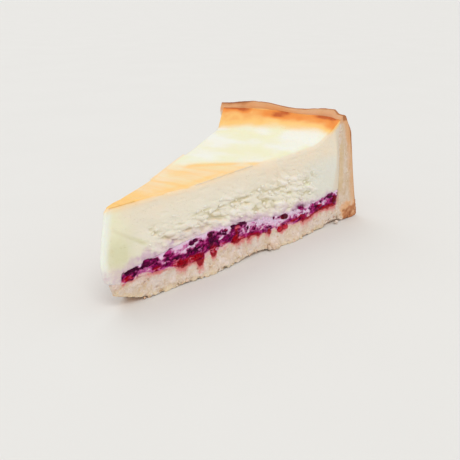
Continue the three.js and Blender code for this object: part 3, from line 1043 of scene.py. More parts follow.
def case_shape(along, across, through):
    """Along runs from 0 to 1 on the base and from 1 to 2 up the crust"""
    on_base = along <= 1
    run = np.minimum(along, 1)
    up = np.clip(along - 1, 0, 1)
    under = between(UNDER_TIP, CRUST_OUTSIDE[0][0], run)
    over = between(OVER_TIP, INSIDE_FOOT, run)
    places = np.column_stack((under, 9 * across, 0 * under))
    rough = 0.8 * np.abs(swell(places, (3.2, 3, 3))) + 0.45 * np.abs(swell(places + 9, (1.1, 2, 2)))
    lower = underside(under, across, rough)
    base_top = layer_floor(over, across) + SINK
    outer = curve_point(CRUST_OUTSIDE, up)
    inner = curve_point(CRUST_INSIDE, up)
    outer_height = outer[:, 1] + underside(outer[:, 0], across, rough) * fade(up, 0, FOOT_SHARE)
    lifted = layer_floor(inner[:, 0], across) + SINK - CRUST_INSIDE[0][1]
    inner_height = inner[:, 1] + lifted * fade(up, 0, CORNER_SHARE)
    crown = CROWN * np.sin(np.pi * through) * ease(up, 0.8, 1)
    rim = rim_height(across) * ease(up, 0.6, 1)
    dents = DENT * np.sin(6 * across + 9 * up) * ease(up, 0.05, 0.4)
    base_radius = between(under, over, through)
    crust_radius = between(outer[:, 0] + dents, inner[:, 0], through)
    base_z = between(lower, base_top, through)
    crust_z = between(outer_height, inner_height, through) + crown + rim
    return np.where(on_base, base_radius, crust_radius), across, np.where(on_base, base_z, crust_z)


case_along = np.concatenate((np.linspace(0, 1, BASE_STEPS + 1), 1 + np.linspace(0, 1, CRUST_STEPS + 1)[1:]))
case = block(case_along, close_at_cuts(CASE_ACROSS), np.linspace(0, 1, CASE_THROUGH + 1), case_shape)
print("The pastry spans", np.round(np.ptp(case["points"], axis=0), 1), "mm")

# %% Pastry case: crumb
# Bulges over the lower edge: flares have their middle, width and size, and one lump stands out further
FLARES = [(42, 13, 1.5), (86, 9, 1.7)]
FLARE_HEIGHT = 4.5
LUMP = {"radius": 74.5, "width": 2.6, "z": 1.4, "spread": 1.7, "size": 2.3}
FAR_LEAN = {"size": 1.3, "radius": (108, 114), "z": (38, 44)}


def outward_swelling(radius, across, z):
    """Pastry that the knife pressed outwards over the lower edge, in the measured solid's places"""
    along = radius + FAR_SHIFT * ease(across, 0.3, 0.7)
    on_cut = hill(from_cut(radius, across, z), 0, 1.6)
    flare = hills(FLARES, along) * hill(z, 0, FLARE_HEIGHT)
    lump = LUMP["size"] * hill(along, LUMP["radius"], LUMP["width"]) * hill(z, LUMP["z"], LUMP["spread"])
    lean = FAR_LEAN["size"] * across * ease(radius, *FAR_LEAN["radius"]) * ease(z, *FAR_LEAN["z"])
    return on_cut * (flare + lump + lean) * ease(radius, -2, 6)


def top_of_base(radius, across):
    """Where the cranberries begin, for places before them and under the crust too"""
    return layer_floor(np.clip(radius, OVER_TIP, INSIDE_FOOT), across)


def case_relief(piece):
    """How far the pastry's surface stands out, and the painted shade of its pits and grain borders"""
    points, radius, across, z = places_of(piece)
    on_cut = fade(from_cut(radius, across, z), 0.1, 0.8)
    crust_cut = on_cut * ease(radius, 115, 117) * ease(z, 7, 11)
    sandy = on_cut - 0.75 * crust_cut
    middle, border, value = lumps(points, (1.9, 1.9, 1.6))
    _, fine_border, fine_value = lumps(points + 20, (0.95, 0.95, 0.85))
    pit = ease(0.36 - middle, 0, 0.25) * (value < -0.5)
    grains = 0.15 * value * ease(border, 0, 0.3) + 0.09 * fine_value
    grains = grains - 0.08 * fade(fine_border, 0, 0.3)
    swelling = 0.3 * swell(points, (4.5, 4.5, 3.5)) + 0.1 * swell(points, 1.2)
    outside = (1 - on_cut) * ease(1 - piece["through"], 0.5, 1.0)
    shell = outside * (0.12 * swell(points, 6) + 0.05 * swell(points, 1.3)
                       - 0.14 * (value < -0.7) * ease(0.4 - middle, 0, 0.2))
    rim = ease(z, 43, 46) * (0.16 * swell(points, 3, 3) + 0.06 * swell(points, 1))
    lower_edge = on_cut * hill(z, 0.6, 1.4) * (0.35 * value + 0.3 * swell(points + 50, (2.2, 2.2, 1.5)))
    seam = ease(top_of_base(radius, across) - z, 0, 1.2)
    relief = sandy * (grains + swelling - 0.35 * pit) * between(0.15, 1, seam) + shell + rim + lower_edge
    # The second value is painted shade in the pits and along the grain borders
    return relief, np.clip(sandy * (pit + 0.4 * fade(fine_border, 0.02, 0.2)), 0, 1)


case_out, case_pit_shade = case_relief(case)
case_swelling = outward_swelling(case["radius"], case["across"], case["z"])
carve(case, case_out)
case["points"] += out_of_cut(case["across"]) * case_swelling[:, None]
case["points"][:, 2] = np.maximum(case["points"][:, 2], 0)
print("The pastry's crumb reaches from", round(case_out.min(), 2), "to", round(case_out.max(), 2), "mm")

# %% [markdown]
# ## Pastry case: browning and juice
#
# The crust is palest inside and darkest at its skin. On the cut that shows as a beige body, a rosy tan
# outer part and a thin brown line. The foot, which lay against the tin, is the darkest place, the outside
# is golden brown in patches, and the underside is lightly baked. The side of the crust that held the quark
# is a little yellower, and its crest is glazed. Under the cranberries the juice has run down into the crumb:
# a strong stain as far as the listed depths, and a pink tint around it that is wider in some places.

# %% Pastry case: masks
# How far the pink tint spreads around the strong stain: each pair has millimetres and a radius
SOAKED = [[0.5, 0], [1.2, 4], [2.4, 9], [2.4, 14], [2.0, 20], [2.6, 28], [2.2, 34], [2.8, 39],
          [2.2, 43], [2.0, 48], [2.4, 54], [3.0, 60], [2.6, 66], [1.2, 72], [0.8, 76], [1.8, 82],
          [1.2, 88], [2.6, 93], [2.4, 97], [1.4, 102], [2.4, 107], [2.2, 114]]
FOOT_EDGE = 117.6
FOOT_TOP = 7.2


def depth_in_crust(radius, z):
    """Distance from the outer skin of the crust"""
    return value_at_height([point[:2] for point in CRUST_OUTSIDE], z) - radius


def browned_skin(points, radius, z, on_cut, crust):
    """On the cut, the tan outer part with its brown line, and the dark foot of the crust"""
    depth = depth_in_crust(radius, z)
    skin = crust * (0.5 * fade(depth, 0, 1.1) + 0.28 * fade(depth, 1.5, 6))
    skin = skin + 0.12 * crust * ease(z, 30, 40) * ease(depth, 0.5, 1.5) * fade(depth, 2, 5)
    skin = skin * np.maximum(on_cut, ease(z, 35, 47))
    edge = FOOT_EDGE + 1.6 * swell(points, (3, 3, 2.5), 2)
    top = FOOT_TOP + 2 * swell(points + 7, (3, 3, 2), 2)
    foot = ease(radius, edge, edge + 4) * fade(z, top - 2, top + 2.5)
    foot = foot * (0.85 + 0.5 * swell(points + 9, 2.5, 2))
    return np.maximum(skin, 0.78 * foot)


def crest(points, radius, across, z, through):
    """Browning and glaze of the crest: its inner side is browned at the far end only"""
    through = through + 0.05 * swell(points + 2, 5)
    inside = ease(through, 0.66, 0.8)
    far_end = ease(across + 0.2 * swell(points + 4, 6), 0.62, 0.9)
    rim = ease(z, 42.5, 45) * between(0.76, between(0.26, 0.42, far_end), inside)
    rim = rim + 0.5 * ease(z, 43, 45) * ease(across, 0.4, 0.6) * found_at(SPOTS, radius - 1.5, across)
    glaze = ease(z, 42.5, 44) * ease(through, 0.66, 0.95) * between(0.6, 1, ease(across, 0.3, 0.5))
    return rim, glaze * (1 - 0.6 * far_end)


def pastry_juice(points, radius, across, z, on_cut):
    """A strong stain under the fruit, a thin one around it, one beside the layer's end and a blush"""
    under_layer = top_of_base(radius, across) - z
    along = fruit_place(np.clip(radius, 0, INSIDE_FOOT), across)
    outside_fruit = under_fruit(along, under_layer, points)
    strong = fade(outside_fruit, -0.8, 0.7)
    soaked = 0.6 * value_at_height(SOAKED, along) * (1 + 0.9 * swell(points + 15, (2.6, 2.6, 4)))
    thin = 0.56 * np.exp(-np.clip(outside_fruit, 0, 9) / np.clip(soaked, 0.3, 4))
    juice = np.maximum(thin, strong) * ease(radius, 0.5, 3.5) * fade(radius, 113.5, 116)
    juice = juice * ease(under_layer, -1.2, -0.3)
    beside = 0.32 * ease(z, 8, 10) * fade(z, 11.5, 15) * fade(radius, 115.2, 117.5)
    juice = np.maximum(juice, beside * ease(radius, INSIDE_FOOT - 1, INSIDE_FOOT))
    tip_blush = 0.12 * fade(radius, 2, 16) * on_cut * ease(z, 4, 9)
    return np.maximum(juice * on_cut, tip_blush)


def case_masks(piece, pit):
    points, radius, across, z = places_of(piece)
    on_cut = fade(from_cut(radius, across, z), 0.15, 0.7)
    crust = ease(radius, INSIDE_FOOT, INSIDE_FOOT + 1.5)
    over_ground = z - tip_curl(radius)
    below = (1 - on_cut) * fade(over_ground, 0.3, 1.2)
    lower_edge = on_cut * (1 - crust) * fade(over_ground, 0.4, 2.6)
    rim, glaze = crest(points, radius, across, z, piece["through"])
    outside = (1 - on_cut) * crust * fade(depth_in_crust(radius, z), 0.2, 1.5)
    baked = 0.42 + 0.22 * swell(points, (9, 9, 12), 3) + 0.16 * swell(points + 8, 3, 2)
    baked = np.clip(baked, 0.36, 1) + 0.16 * ease(z, 30, 46) + 0.16 * fade(z, 0, 9)
    from_lining = radius - value_at_height(CRUST_INSIDE, z)
    lining = crust * fade(from_lining, 2, 4.5) * ease(z, 12, 17) * fade(z, 32, 38)
    return {
        "browning": np.maximum.reduce([browned_skin(points, radius, z, on_cut, crust), rim, 0.36 * below,
                                       0.07 * lower_edge, outside * baked]),
        "juice": pastry_juice(points, radius, across, z, on_cut),
        # Painted shade in the pits and between the grains of the cut
        "pit": pit,
        "crust": crust * ease(z, 7, 10),
        "glaze": glaze,
        "sandy": lower_edge,
        "lining": lining,
        "outside": outside,
    }


case_mask_values = case_masks(case, case_pit_shade)
print("Juice reaches", round(float((case_mask_values["juice"] > 0.2).mean()), 3), "of the pastry's points")

# %% Pastry case: material
def pastry_colour(tree, browning, juice, crumb):
    """Beige shortcrust, browned and stained by the shared groups"""
    beige = blend(tree, stretch(tree, cloud(tree, 3.2, 4), 0.35, 0.65), picked(232, 216, 206),
                  picked(224, 203, 182))
    for size, detail, rarest, colour in ((1.3, 3, 0.5, picked(214, 184, 142)),
                                         (0.9, 2, 0.56, picked(250, 236, 222))):
        specks = stretch(tree, cloud(tree, size, detail), rarest, 0.7, 0.0, 0.6)
        beige = blend(tree, specks, beige, colour)
    # Painted shade in the low grains and pores of the fine crumb
    beige = blend(tree, stretch(tree, crumb["Shade"], 0.05, 0.45, 0.3, 0.0), beige, picked(196, 158, 118))
    baked = use_group(tree, BROWNING, {
        "Color": beige, "Golden": picked(234, 184, 140), "Brown": picked(192, 126, 84),
        "Burnt": picked(128, 68, 34), "Browning": browning, "Patch Size": 4.0, "Patchiness": 0.25})
    return use_group(tree, JUICE, {
        "Color": baked["Color"], "Thin": picked(222, 132, 130), "Deep": picked(156, 0, 26),
        "Juice": juice, "Grain": 0.9})


def pastry_material():
    material, tree, shader = new_material("shortcrust")
    crumb = use_group(tree, FINE_CRUMB, {"Grain Size": 0.4, "Pore Size": 0.8, "Pore Share": 0.2})
    stained = pastry_colour(tree, mask(tree, "browning"), mask(tree, "juice"), crumb)
    # Painted shade: darker in the pits and between the grains of the cut
    colour = blend(tree, stretch(tree, mask(tree, "pit"), 0.1, 1, 0.0, 0.4), stained["Color"],
                   picked(190, 150, 112), "MULTIPLY")
    sandy = stretch(tree, cloud(tree, 2.0, 3), 0.3, 0.6, 0.2, 0.7)
    sandy = sums(tree, "MULTIPLY", mask(tree, "sandy"), sandy)
    colour = blend(tree, sandy, colour, picked(232, 212, 174))
    colour = blend(tree, mask(tree, "glaze"), colour, picked(226, 154, 98))
    colour = blend(tree, sums(tree, "MULTIPLY", mask(tree, "lining"), 0.65), colour, picked(226, 200, 158))
    bands = cloud(tree, 1.6, 2, squash=(1, 1, 0.12))
    tan = sums(tree, "MULTIPLY", mask(tree, "crust"), stretch(tree, bands, 0.35, 0.65, 0.3, 0.5))
    colour = blend(tree, tan, colour, picked(226, 214, 184), "MULTIPLY")
    # The outside, pressed against the tin, is pitted: dark in the pits as painted shade, and paler on the
    # grains between as a painted highlight
    rough = cloud(tree, 1.7, 4)
    pit_shade = sums(tree, "MULTIPLY", mask(tree, "outside"), stretch(tree, rough, 0.34, 0.46, 0.6, 0.0))
    grains = sums(tree, "MULTIPLY", mask(tree, "outside"), stretch(tree, rough, 0.54, 0.7, 0.0, 0.5))
    colour = blend(tree, pit_shade, colour, picked(158, 104, 66))
    colour = blend(tree, grains, colour, picked(240, 206, 166))
    fill(tree, shader.inputs["Base Color"], colour)
    fill(tree, shader.inputs["Roughness"], stretch(tree, stained["Wetness"], 0.1, 0.9, 0.82, 0.4))
    height = sums(tree, "ADD", crumb["Height"], sums(
        tree, "MULTIPLY", mask(tree, "outside"), stretch(tree, rough, 0.3, 0.6, 0.0, 2.2)))
    add_bump(tree, shader, height, 0.7, 0.3)
    set_shader(shader, {"Specular IOR Level": 0.25, "Subsurface Weight": 0.12,
                        "Subsurface Radius": (1.0, 0.6, 0.35), "Subsurface Scale": 1.2 * MM})
    return material


make_piece("pastry", case, case_mask_values, pastry_material(), "pastry_case")

# %% [markdown]
# ## Cranberry layer: core
#
# Cooked cranberries burst and sink into each other. Between the skins lies a dark jelly, redder at the
# bottom where it is clear and thin, and quark has run in from above. The core carries that as bumpy relief
# and as masks: how creamy, how red and how light each place is. Noise alone would mix them evenly, so the
# creamy, red and dark places are listed, and noise frays their borders. The core keeps the form of the
# measured layer, set back a third of a millimetre at the cuts so that the separate berries stand out of it.

# %% Cranberry layer: core
LAYER_STEPS = (340, 14, 26)
SET_BACK = 0.38
LAYER_BUMPS = ((0.3, (1.9, 1.9, 1.4)), (0.16, (0.9, 0.9, 0.8)))
# How far the layer's front leans back for each millimetre of height
LAYER_SLOPE = 0.33
# Each place has its radius, its height, its half length and its half height in millimetres, and a
# strength. A negative strength takes cream away
CREAM_PLACES = [(9.9, 12.7, 0.7, 1.6, 0.6), (10.4, 9.5, 3.4, 1.4, 0.85), (12.9, 10.6, 1.2, 0.6, 0.4),
                (18.4, 12.8, 0.7, 1.6, 0.8), (16.4, 14.2, 1.2, 0.6, 0.6), (25.8, 14.7, 3.2, 1.7, 1.1),
                (28.6, 12.6, 1.5, 1.0, 0.9), (29.9, 15.3, 0.7, 1.6, 0.7), (32.6, 12.9, 1.4, 0.6, 0.8),
                (35.0, 14.3, 1.2, 0.8, 0.8), (37.4, 15.2, 1.3, 1.5, 1.0), (44.4, 15.8, 2.2, 0.7, 0.9),
                (48.7, 13.0, 1.5, 0.8, 0.9), (49.6, 15.2, 0.9, 1.6, 1.0), (45.8, 12.6, 1.0, 0.4, 0.5),
                (57.6, 12.0, 1.9, 1.0, 0.95), (54.2, 14.2, 1.3, 0.7, 0.45), (60.6, 13.6, 1.5, 1.3, 0.8),
                (63.6, 14.3, 3, 1.2, 1.0), (68, 13.4, 3.4, 1.9, 1.1), (71.6, 11.8, 2.2, 1.6, 1.0),
                (66.6, 10.7, 1.8, 0.6, 0.6), (74.7, 11, 0.9, 3.4, 0.9), (78, 10.0, 2.7, 1.1, 1.1),
                (77.4, 9.1, 2.6, 0.7, 0.8), (85.6, 12.2, 4.2, 2.4, 1.3), (95.3, 10, 1.2, 3.6, 1.1),
                (105.6, 11.5, 1.2, 1.5, 0.1), (101, 13.5, 3, 0.6, 0.6), (108.6, 11.9, 1.3, 0.7, 0.3),
                (24.4, 11, 3, 0.8, -0.6), (33.5, 11.2, 4, 0.9, -0.5), (41, 12.4, 2.8, 2, -0.4),
                (48, 11.2, 3, 0.8, -0.5), (52.6, 11, 1.4, 2, -0.4), (63.8, 9.3, 3, 0.9, -0.5),
                (70, 10.3, 2.2, 0.7, -0.4), (84.6, 9.0, 3.4, 0.7, -1.0), (88.6, 8.3, 2, 0.7, -0.8),
                (92, 8.7, 2.2, 1.3, -0.7), (91.2, 12.2, 1.3, 0.8, -0.6), (100, 11, 3, 1.4, -0.3),
                (107, 9, 5, 0.7, -0.5), (112.6, 11, 1.8, 2, -0.4)]
RED_PLACES = [(4.6, 9.9, 2.2, 1.1, 0.8), (10.4, 9.3, 3.4, 1.2, 0.6), (16.6, 10, 1.8, 1.0, 0.9),
              (16.5, 13.3, 1.0, 0.6, 0.6), (25.6, 8.8, 3.6, 1.2, 1.1), (33.5, 8.4, 4.6, 1.6, 1.2),
              (42.2, 8.2, 1.8, 2.0, 1.0), (46.5, 9.9, 2.6, 0.6, 0.8), (40.5, 15.0, 1.6, 0.9, 0.4),
              (40.5, 11, 3, 1.6, 0.35), (48, 14.6, 0.9, 0.5, 0.8), (53.4, 11, 1.1, 2.1, 1.0),
              (54.2, 14, 1.5, 0.9, 1.0), (56, 9.2, 2.6, 1.2, 0.9), (52, 8.9, 2.4, 1.0, 0.8),
              (61.5, 9.4, 2.2, 0.9, 0.6), (65, 8.8, 2.4, 1.0, 0.9), (71.8, 8, 1.2, 1.3, 0.9),
              (80.2, 12, 2.8, 1.4, 0.6), (79.5, 7, 3.2, 1.3, 1.2), (86, 8.7, 4.5, 0.7, 0.8),
              (92, 8.6, 2.2, 1.5, 0.55), (103, 8.9, 8, 0.8, 1.0), (109.5, 9.1, 3.4, 0.9, 1.0),
              (113, 11.2, 1.5, 1.6, 0.7), (102.9, 10.6, 1.2, 0.8, 0.5)]
# Strong places are nearly black, and places with a negative strength are lighter than what is around them
DARK_PLACES = [(6, 12.4, 3.0, 0.7, 0.6), (12.4, 13, 2.0, 1.3, 0.6), (16, 12.4, 1.3, 0.9, 0.4),
               (20.3, 11.4, 1.6, 1.0, 0.4), (24.6, 10.9, 3, 0.7, 0.55), (32.2, 14.6, 1.8, 0.8, 0.9),
               (33.5, 11.3, 4, 0.9, 0.45), (40.4, 15.2, 1.5, 0.9, 0.8), (41, 12, 3.4, 1.6, 0.35),
               (44.8, 14.2, 1.2, 0.5, 0.8), (47.2, 13.5, 1.3, 0.5, 0.9), (48, 11.3, 3, 0.7, 0.4),
               (51.8, 15.5, 1.5, 0.6, 0.9), (56.5, 15.2, 1.8, 0.7, 0.9), (58.9, 13.2, 1.0, 0.8, 0.7),
               (60.1, 11.9, 0.9, 0.7, 0.5), (69.5, 11, 1.6, 0.6, 0.2), (73.7, 12.9, 0.6, 0.8, 0.7),
               (79.8, 12, 2.0, 1.1, 0.8), (92.3, 8.8, 1.6, 0.8, 0.3), (98, 12.4, 0.9, 0.8, 0.1),
               (103, 10.9, 1.3, 0.8, 0.25), (110, 13.4, 2.3, 0.7, 0.45), (112.9, 11.4, 1.5, 1.4, 0.55),
               (54.4, 14, 1.4, 0.8, -0.7), (7, 11.2, 1.4, 0.4, -0.4), (21.6, 12.9, 1.4, 0.5, -0.35),
               (12.9, 10.6, 1.2, 0.6, -0.3), (58.5, 9.6, 1.2, 0.6, -0.2), (108.6, 11.6, 1.6, 0.7, -0.3),
               (100, 11.4, 3, 1.4, -0.15)]
# How much quark is mixed into the fruit: each pair has a share and a radius
CREAMINESS = [[0.0, 2], [0.1, 14], [0.2, 24], [0.2, 34], [0.08, 46], [0.2, 56], [0.35, 64], [0.42, 70],
              [0.42, 78], [0.4, 90], [0.4, 96], [0.2, 100], [0.3, 106], [0.05, 112]]
# The sizes of the clumps of fruit that differ in lightness, with cream in the seams between them
CLUMP = (2.8, 2.8, 1.5)
FRONT_ROUNDING = 1.6


def in_levels(places):
    """The same places with their heights as levels, from 0 at the pastry to 1 at the quark"""
    found = []
    for radius, z, length, spread, strength in places:
        thickness = layer_thickness(radius, 0)
        found.append((radius, (z - layer_floor(radius, 0)) / thickness, length, spread / thickness, strength))
    return found


cream_levels, red_levels, dark_levels = map(in_levels, (CREAM_PLACES, RED_PLACES, DARK_PLACES))


def layer_shape(along, across, through):
    radius = between(LAYER_START, INSIDE_FOOT, along)
    z = between(layer_floor(radius, across) - SINK, layer_ceiling(radius, across) + SINK, through)
    start = LAYER_START + LAYER_SLOPE * (z - layer_floor(LAYER_START, across))
    return between(start, value_at_height(CRUST_INSIDE, z), along), across, z


def layer_colours(radius, across, level, points):
    """How creamy, how red and how light the fruit is at a level from 0 to 1"""
    along = fruit_place(radius, across)
    coarse, middling, small = [swell(points + shift, (1.2 * size, 1.2 * size, 0.65 * size))
                               for shift, size in ((3, 3.4), (8, 2.0), (22, 1.0))]
    _, border, tone = lumps(bend(points, 0.8, 2, (31, 43, 57)), CLUMP)
    seam = fade(border, 0.03, 0.3)
    cream = 0.85 * found_at(cream_levels, along, level) + 0.5 * coarse + 0.45 * middling + 0.4 * small
    cream = cream + value_at_height(CREAMINESS, along) * (0.5 + 0.7 * seam) * ease(level, -0.1, 0.35)
    thickness = layer_thickness(radius, across)
    cream = np.maximum(cream, ease(over_fruit(along, (level - 1) * thickness, points), -0.4, 0.5))
    cream = np.maximum(cream, ease(under_fruit(along, -level * thickness, points), -0.5, 0.6))
    front = LAYER_START + FRONT_ROUNDING * (np.abs(2 * level - 1.1) / 1.1) ** 2 + 0.5 * small
    cream = np.maximum(cream, 0.9 * fade(radius, front - 0.3, front + 1.1))
    end = value_at_height(CRUST_INSIDE, layer_height(radius, across, level)) + 0.5 * small
    cream = np.maximum(cream, 0.35 * ease(radius, end - 1.3, end - 0.4))
    red = found_at(red_levels, along, level) + 0.3 * coarse
    light = 0.56 - 0.2 * level + 0.3 * tone + 0.45 * middling + 0.5 * small
    light = light - found_at(dark_levels, along, level)
    light = between(light, np.clip(light, 0.35, 0.6), 0.8 * ease(red, 0.2, 0.8))
    return {"cream": np.clip(cream, 0, 1), "red": ease(red, 0.2, 0.8), "value": np.clip(light, 0, 1),
            "level": level}


layer = block(np.linspace(0, 1, LAYER_STEPS[0] + 1), close_at_cuts(LAYER_STEPS[1]),
              np.linspace(0, 1, LAYER_STEPS[2] + 1), layer_shape)
layer_bumps = sum(height * ease(swell(layer["points"] + 66, sizes), -0.25, 0.2)
                  for height, sizes in LAYER_BUMPS)
inside_layer = ease(layer["through"], 0, 0.12) * fade(layer["through"], 0.9, 1)
carve(layer, inside_layer * ease(layer["along"], 0, 0.02) * (layer_bumps - SET_BACK))
print("The layer's core holds", len(layer["faces"]), "faces")

# %% [markdown]
# ## Cranberry layer: material
#
# Berry skins are almost black where they lie thick and crimson or magenta where light comes through, and
# everything is wet. One mask takes the colour from dark purple to magenta, one to clear red, and one
# through pink to a white that is lilac above and rosy below, where quark is mixed in. The wet film is a
# clear coat in patches.

# %% Cranberry layer: material
def berry_material():
    material, tree, shader = new_material("cooked cranberries")
    grain = sums(tree, "SUBTRACT", cloud(tree, 1.1, 3, squash=(1.3, 1.3, 0.7)), 0.5)
    light = sums(tree, "ADD", mask(tree, "value"), sums(tree, "MULTIPLY", grain, 0.55), clamped=True)
    purple = blend(tree, stretch(tree, light, 0.0, 0.5), picked(62, 0, 40), picked(132, 0, 82))
    purple = blend(tree, stretch(tree, light, 0.45, 1.0), purple, picked(194, 58, 136))
    red = blend(tree, stretch(tree, light, 0.0, 0.6), picked(86, 0, 16), picked(168, 0, 26))
    red = blend(tree, stretch(tree, light, 0.65, 1.0), red, picked(208, 64, 84))
    berry = blend(tree, mask(tree, "red"), purple, red)
    milky = sums(tree, "ADD", mask(tree, "cream"), sums(tree, "MULTIPLY", grain, 0.6), clamped=True)
    pink = blend(tree, mask(tree, "red"), picked(198, 98, 158), picked(222, 106, 128))
    lilac = blend(tree, stretch(tree, mask(tree, "level"), 0.1, 0.5), picked(232, 190, 184),
                  picked(238, 206, 230))
    mixed = blend(tree, stretch(tree, milky, 0.15, 0.6), berry, pink)
    fill(tree, shader.inputs["Base Color"], blend(tree, stretch(tree, milky, 0.5, 1.0), mixed, lilac))
    fill(tree, shader.inputs["Roughness"], stretch(tree, mask(tree, "cream"), 0.1, 0.9, 0.3, 0.55))
    fill(tree, shader.inputs["Coat Weight"], stretch(tree, cloud(tree, 1.0, 2), 0.62, 0.74, 0.0, 0.25))
    add_bump(tree, shader, cloud(tree, 0.6, 3), 0.5, 0.25)
    set_shader(shader, {"Specular IOR Level": 0.05, "Coat Roughness": 0.12, "Subsurface Weight": 0.2,
                        "Subsurface Radius": (1.0, 0.2, 0.25), "Subsurface Scale": 1.0 * MM})
    return material


BERRY_FINISH = berry_material()
layer_values = layer_colours(layer["radius"], layer["across"], layer["through"], layer["points"])
make_piece("cranberry_jelly", layer, layer_values, BERRY_FINISH, "cranberry_layer")

# %% [markdown]
# ## Burst berries
#
# What the knife left standing in the layer are burst skins and lumps of jelly, one to five millimetres
# long. They are many small things, so one unit lump is copied by a loop: each copy is stretched, turned in
# the plane of its cut, dented in its middle and crumpled by noise, and all copies of a kind are joined into
# one mesh. The large berries have listed places, and a seeded draw, which is the same in every run, spreads
# the small ones. All take their colour from the same places as the core, so that they belong to it.

# %% Scattered lumps
def unit_lump(subdivisions):
    """Points and triangles of a round lump of radius 1"""
    ball = bmesh.new()
    bmesh.ops.create_icosphere(ball, subdivisions=subdivisions, radius=1)
    points = np.array([corner.co for corner in ball.verts])
    faces = np.array([[corner.index for corner in face.verts] for face in ball.faces])
    ball.free()
    return points, faces


def cut_directions(side):
    """Along the cut, up, and out of the cut, for side -1 (near) or 1 (far)"""
    half = SLICE_ANGLE / 2
    along = np.array((math.cos(half), side * math.sin(half), 0))
    out = np.array((-math.sin(half), side * math.cos(half), 0))
    return np.array((along, (0, 0, 1), out))


def lump_copy(unit, place, sizes, directions, turn, dent, crumple, seed):
    """One lump: sizes are its half lengths along, up and out of the surface that it sits on"""
    outward = np.clip(unit[:, 2], 0, 1)
    shaped = unit.copy()
    shaped[:, 2] -= dent * outward * np.exp(-(unit[:, 0] ** 2 + unit[:, 1] ** 2) / 0.3)
    uneven = swell(unit + seed, 0.7) + 0.4 * swell(unit + seed, 0.3)
    shaped *= 1 + crumple * uneven[:, None]
    shaped *= sizes
    turned = shaped.copy()
    turned[:, 0] = shaped[:, 0] * math.cos(turn) - shaped[:, 1] * math.sin(turn)
    turned[:, 1] = shaped[:, 0] * math.sin(turn) + shaped[:, 1] * math.cos(turn)
    return place + turned @ directions


def join_lumps(unit, copies):
    """One shape from many copies, with each copy's number on its points"""
    points, faces = unit
    return {
        "points": np.concatenate(copies),
        "faces": np.concatenate([faces + number * len(points) for number in range(len(copies))]),
        "copy": np.repeat(np.arange(len(copies)), len(points)),
    }


def cut_place(radius, z, side):
    return in_slice(np.array([radius]), np.array([0.5 + 0.5 * side]), np.array([z]))[0]


print("A lump of two subdivisions has", len(unit_lump(2)[1]), "triangles")

# %% Burst berries
# Each berry has its radius, its height, its half length and half height, and how much lighter it is
LONE_BERRIES = [(80.1, 11.8, 2.6, 1.3, 0), (77.9, 7.0, 1.8, 1.2, 0.2), (81.4, 7.2, 1.7, 1.0, 0.45),
                (73.8, 12.9, 0.6, 0.8, 0.2), (90.6, 9.2, 1.4, 0.9, 0.1), (92.8, 8.4, 1.4, 1.2, 0.1),
                (90.6, 12.7, 1.9, 0.9, 0.1), (98.2, 12.0, 1.2, 1.0, 0.3), (103.1, 10.8, 1.4, 1.1, 0.1),
                (109.4, 13.3, 2.2, 0.7, 0), (112.8, 11.4, 1.4, 1.6, 0), (31.6, 14.3, 1.2, 0.8, 0.1),
                (33.2, 14.9, 1.2, 0.7, 0.1), (40.2, 15.0, 1.3, 0.9, 0.1), (44.9, 14.2, 1.2, 0.4, 0.1),
                (47.1, 13.5, 1.4, 0.45, 0.1), (51.6, 15.3, 1.3, 0.6, 0.1), (56.4, 15.1, 1.8, 0.6, 0.1),
                (59.2, 12.8, 0.5, 1.0, 0.1), (6, 12.3, 1.8, 0.6, 0.1), (12.3, 13.0, 1.8, 1.3, 0.15),
                (21.4, 13.4, 1.5, 1.1, 0.15)]
BERRY_DEPTH = 0.7
# How the berries lean in the plane of the cut, in radians: a mean and a spread
SMALL_LEAN = (-0.3, 0.5)
LONE_LEAN = (-0.25, 0.1)
BERRY_COUNT = 210
BERRY_UNIT = unit_lump(3)


def berry_copies(side, draw):
    """Lumps on one cut, each as its points, its place in the layer and how much lighter it is"""
    directions = cut_directions(side)
    share = 0.5 + 0.5 * side
    found = []
    for _ in range(BERRY_COUNT):
        radius, level = draw.uniform(LAYER_START + 2, INSIDE_FOOT - 1), draw.uniform(0.06, 0.96)
        length = 0.45 + 1.0 * draw.beta(1.3, 2.5)
        sizes = np.array((1.25 * length, length * draw.uniform(0.4, 0.75), draw.uniform(0.2, 0.4)))
        place = cut_place(radius, layer_height(radius, share, level), side) - directions[2] * 0.2
        points = lump_copy(BERRY_UNIT[0], place, sizes, directions, draw.normal(*SMALL_LEAN),
                           draw.uniform(0, 0.8), 0.45, draw.uniform(0, 90))
        creamy = draw.random() < 0.05 + 0.4 * value_at_height(CREAMINESS, fruit_place(radius, share))
        found.append((points, radius, level, draw.uniform(-0.2, 0.25), 0.5 * creamy * (level > 0.3)))
    for radius, z, length, height, lighter in LONE_BERRIES:
        level = (z - layer_floor(radius, 0)) / layer_thickness(radius, 0)
        radius = radius if side < 0 else abs(radius - FAR_SHIFT)
        place = cut_place(radius, layer_height(radius, share, level), side) - directions[2] * 0.25
        points = lump_copy(BERRY_UNIT[0], place, np.array((length, height, BERRY_DEPTH)), directions,
                           draw.normal(*LONE_LEAN), draw.uniform(0.1, 0.4), 0.3, draw.uniform(0, 90))
        found.append((points, radius, level, lighter, -1))
    return found


berry_draw = np.random.default_rng(11)
berries = {side: berry_copies(side, berry_draw) for side in (-1, 1)}
berry_shape = join_lumps(BERRY_UNIT, [berry[0] for side in berries for berry in berries[side]])
berry_facts = np.array([(berry[1], 0.5 + 0.5 * side, *berry[2:])
                        for side in berries for berry in berries[side]])[berry_shape["copy"]]
berry_values = layer_colours(*berry_facts[:, :3].T, berry_shape["points"])
berry_values["value"] = berry_values["value"] + berry_facts[:, 3]
berry_values["cream"] = berry_values["cream"] + berry_facts[:, 4]
make_piece("burst_berries", berry_shape, berry_values, BERRY_FINISH)

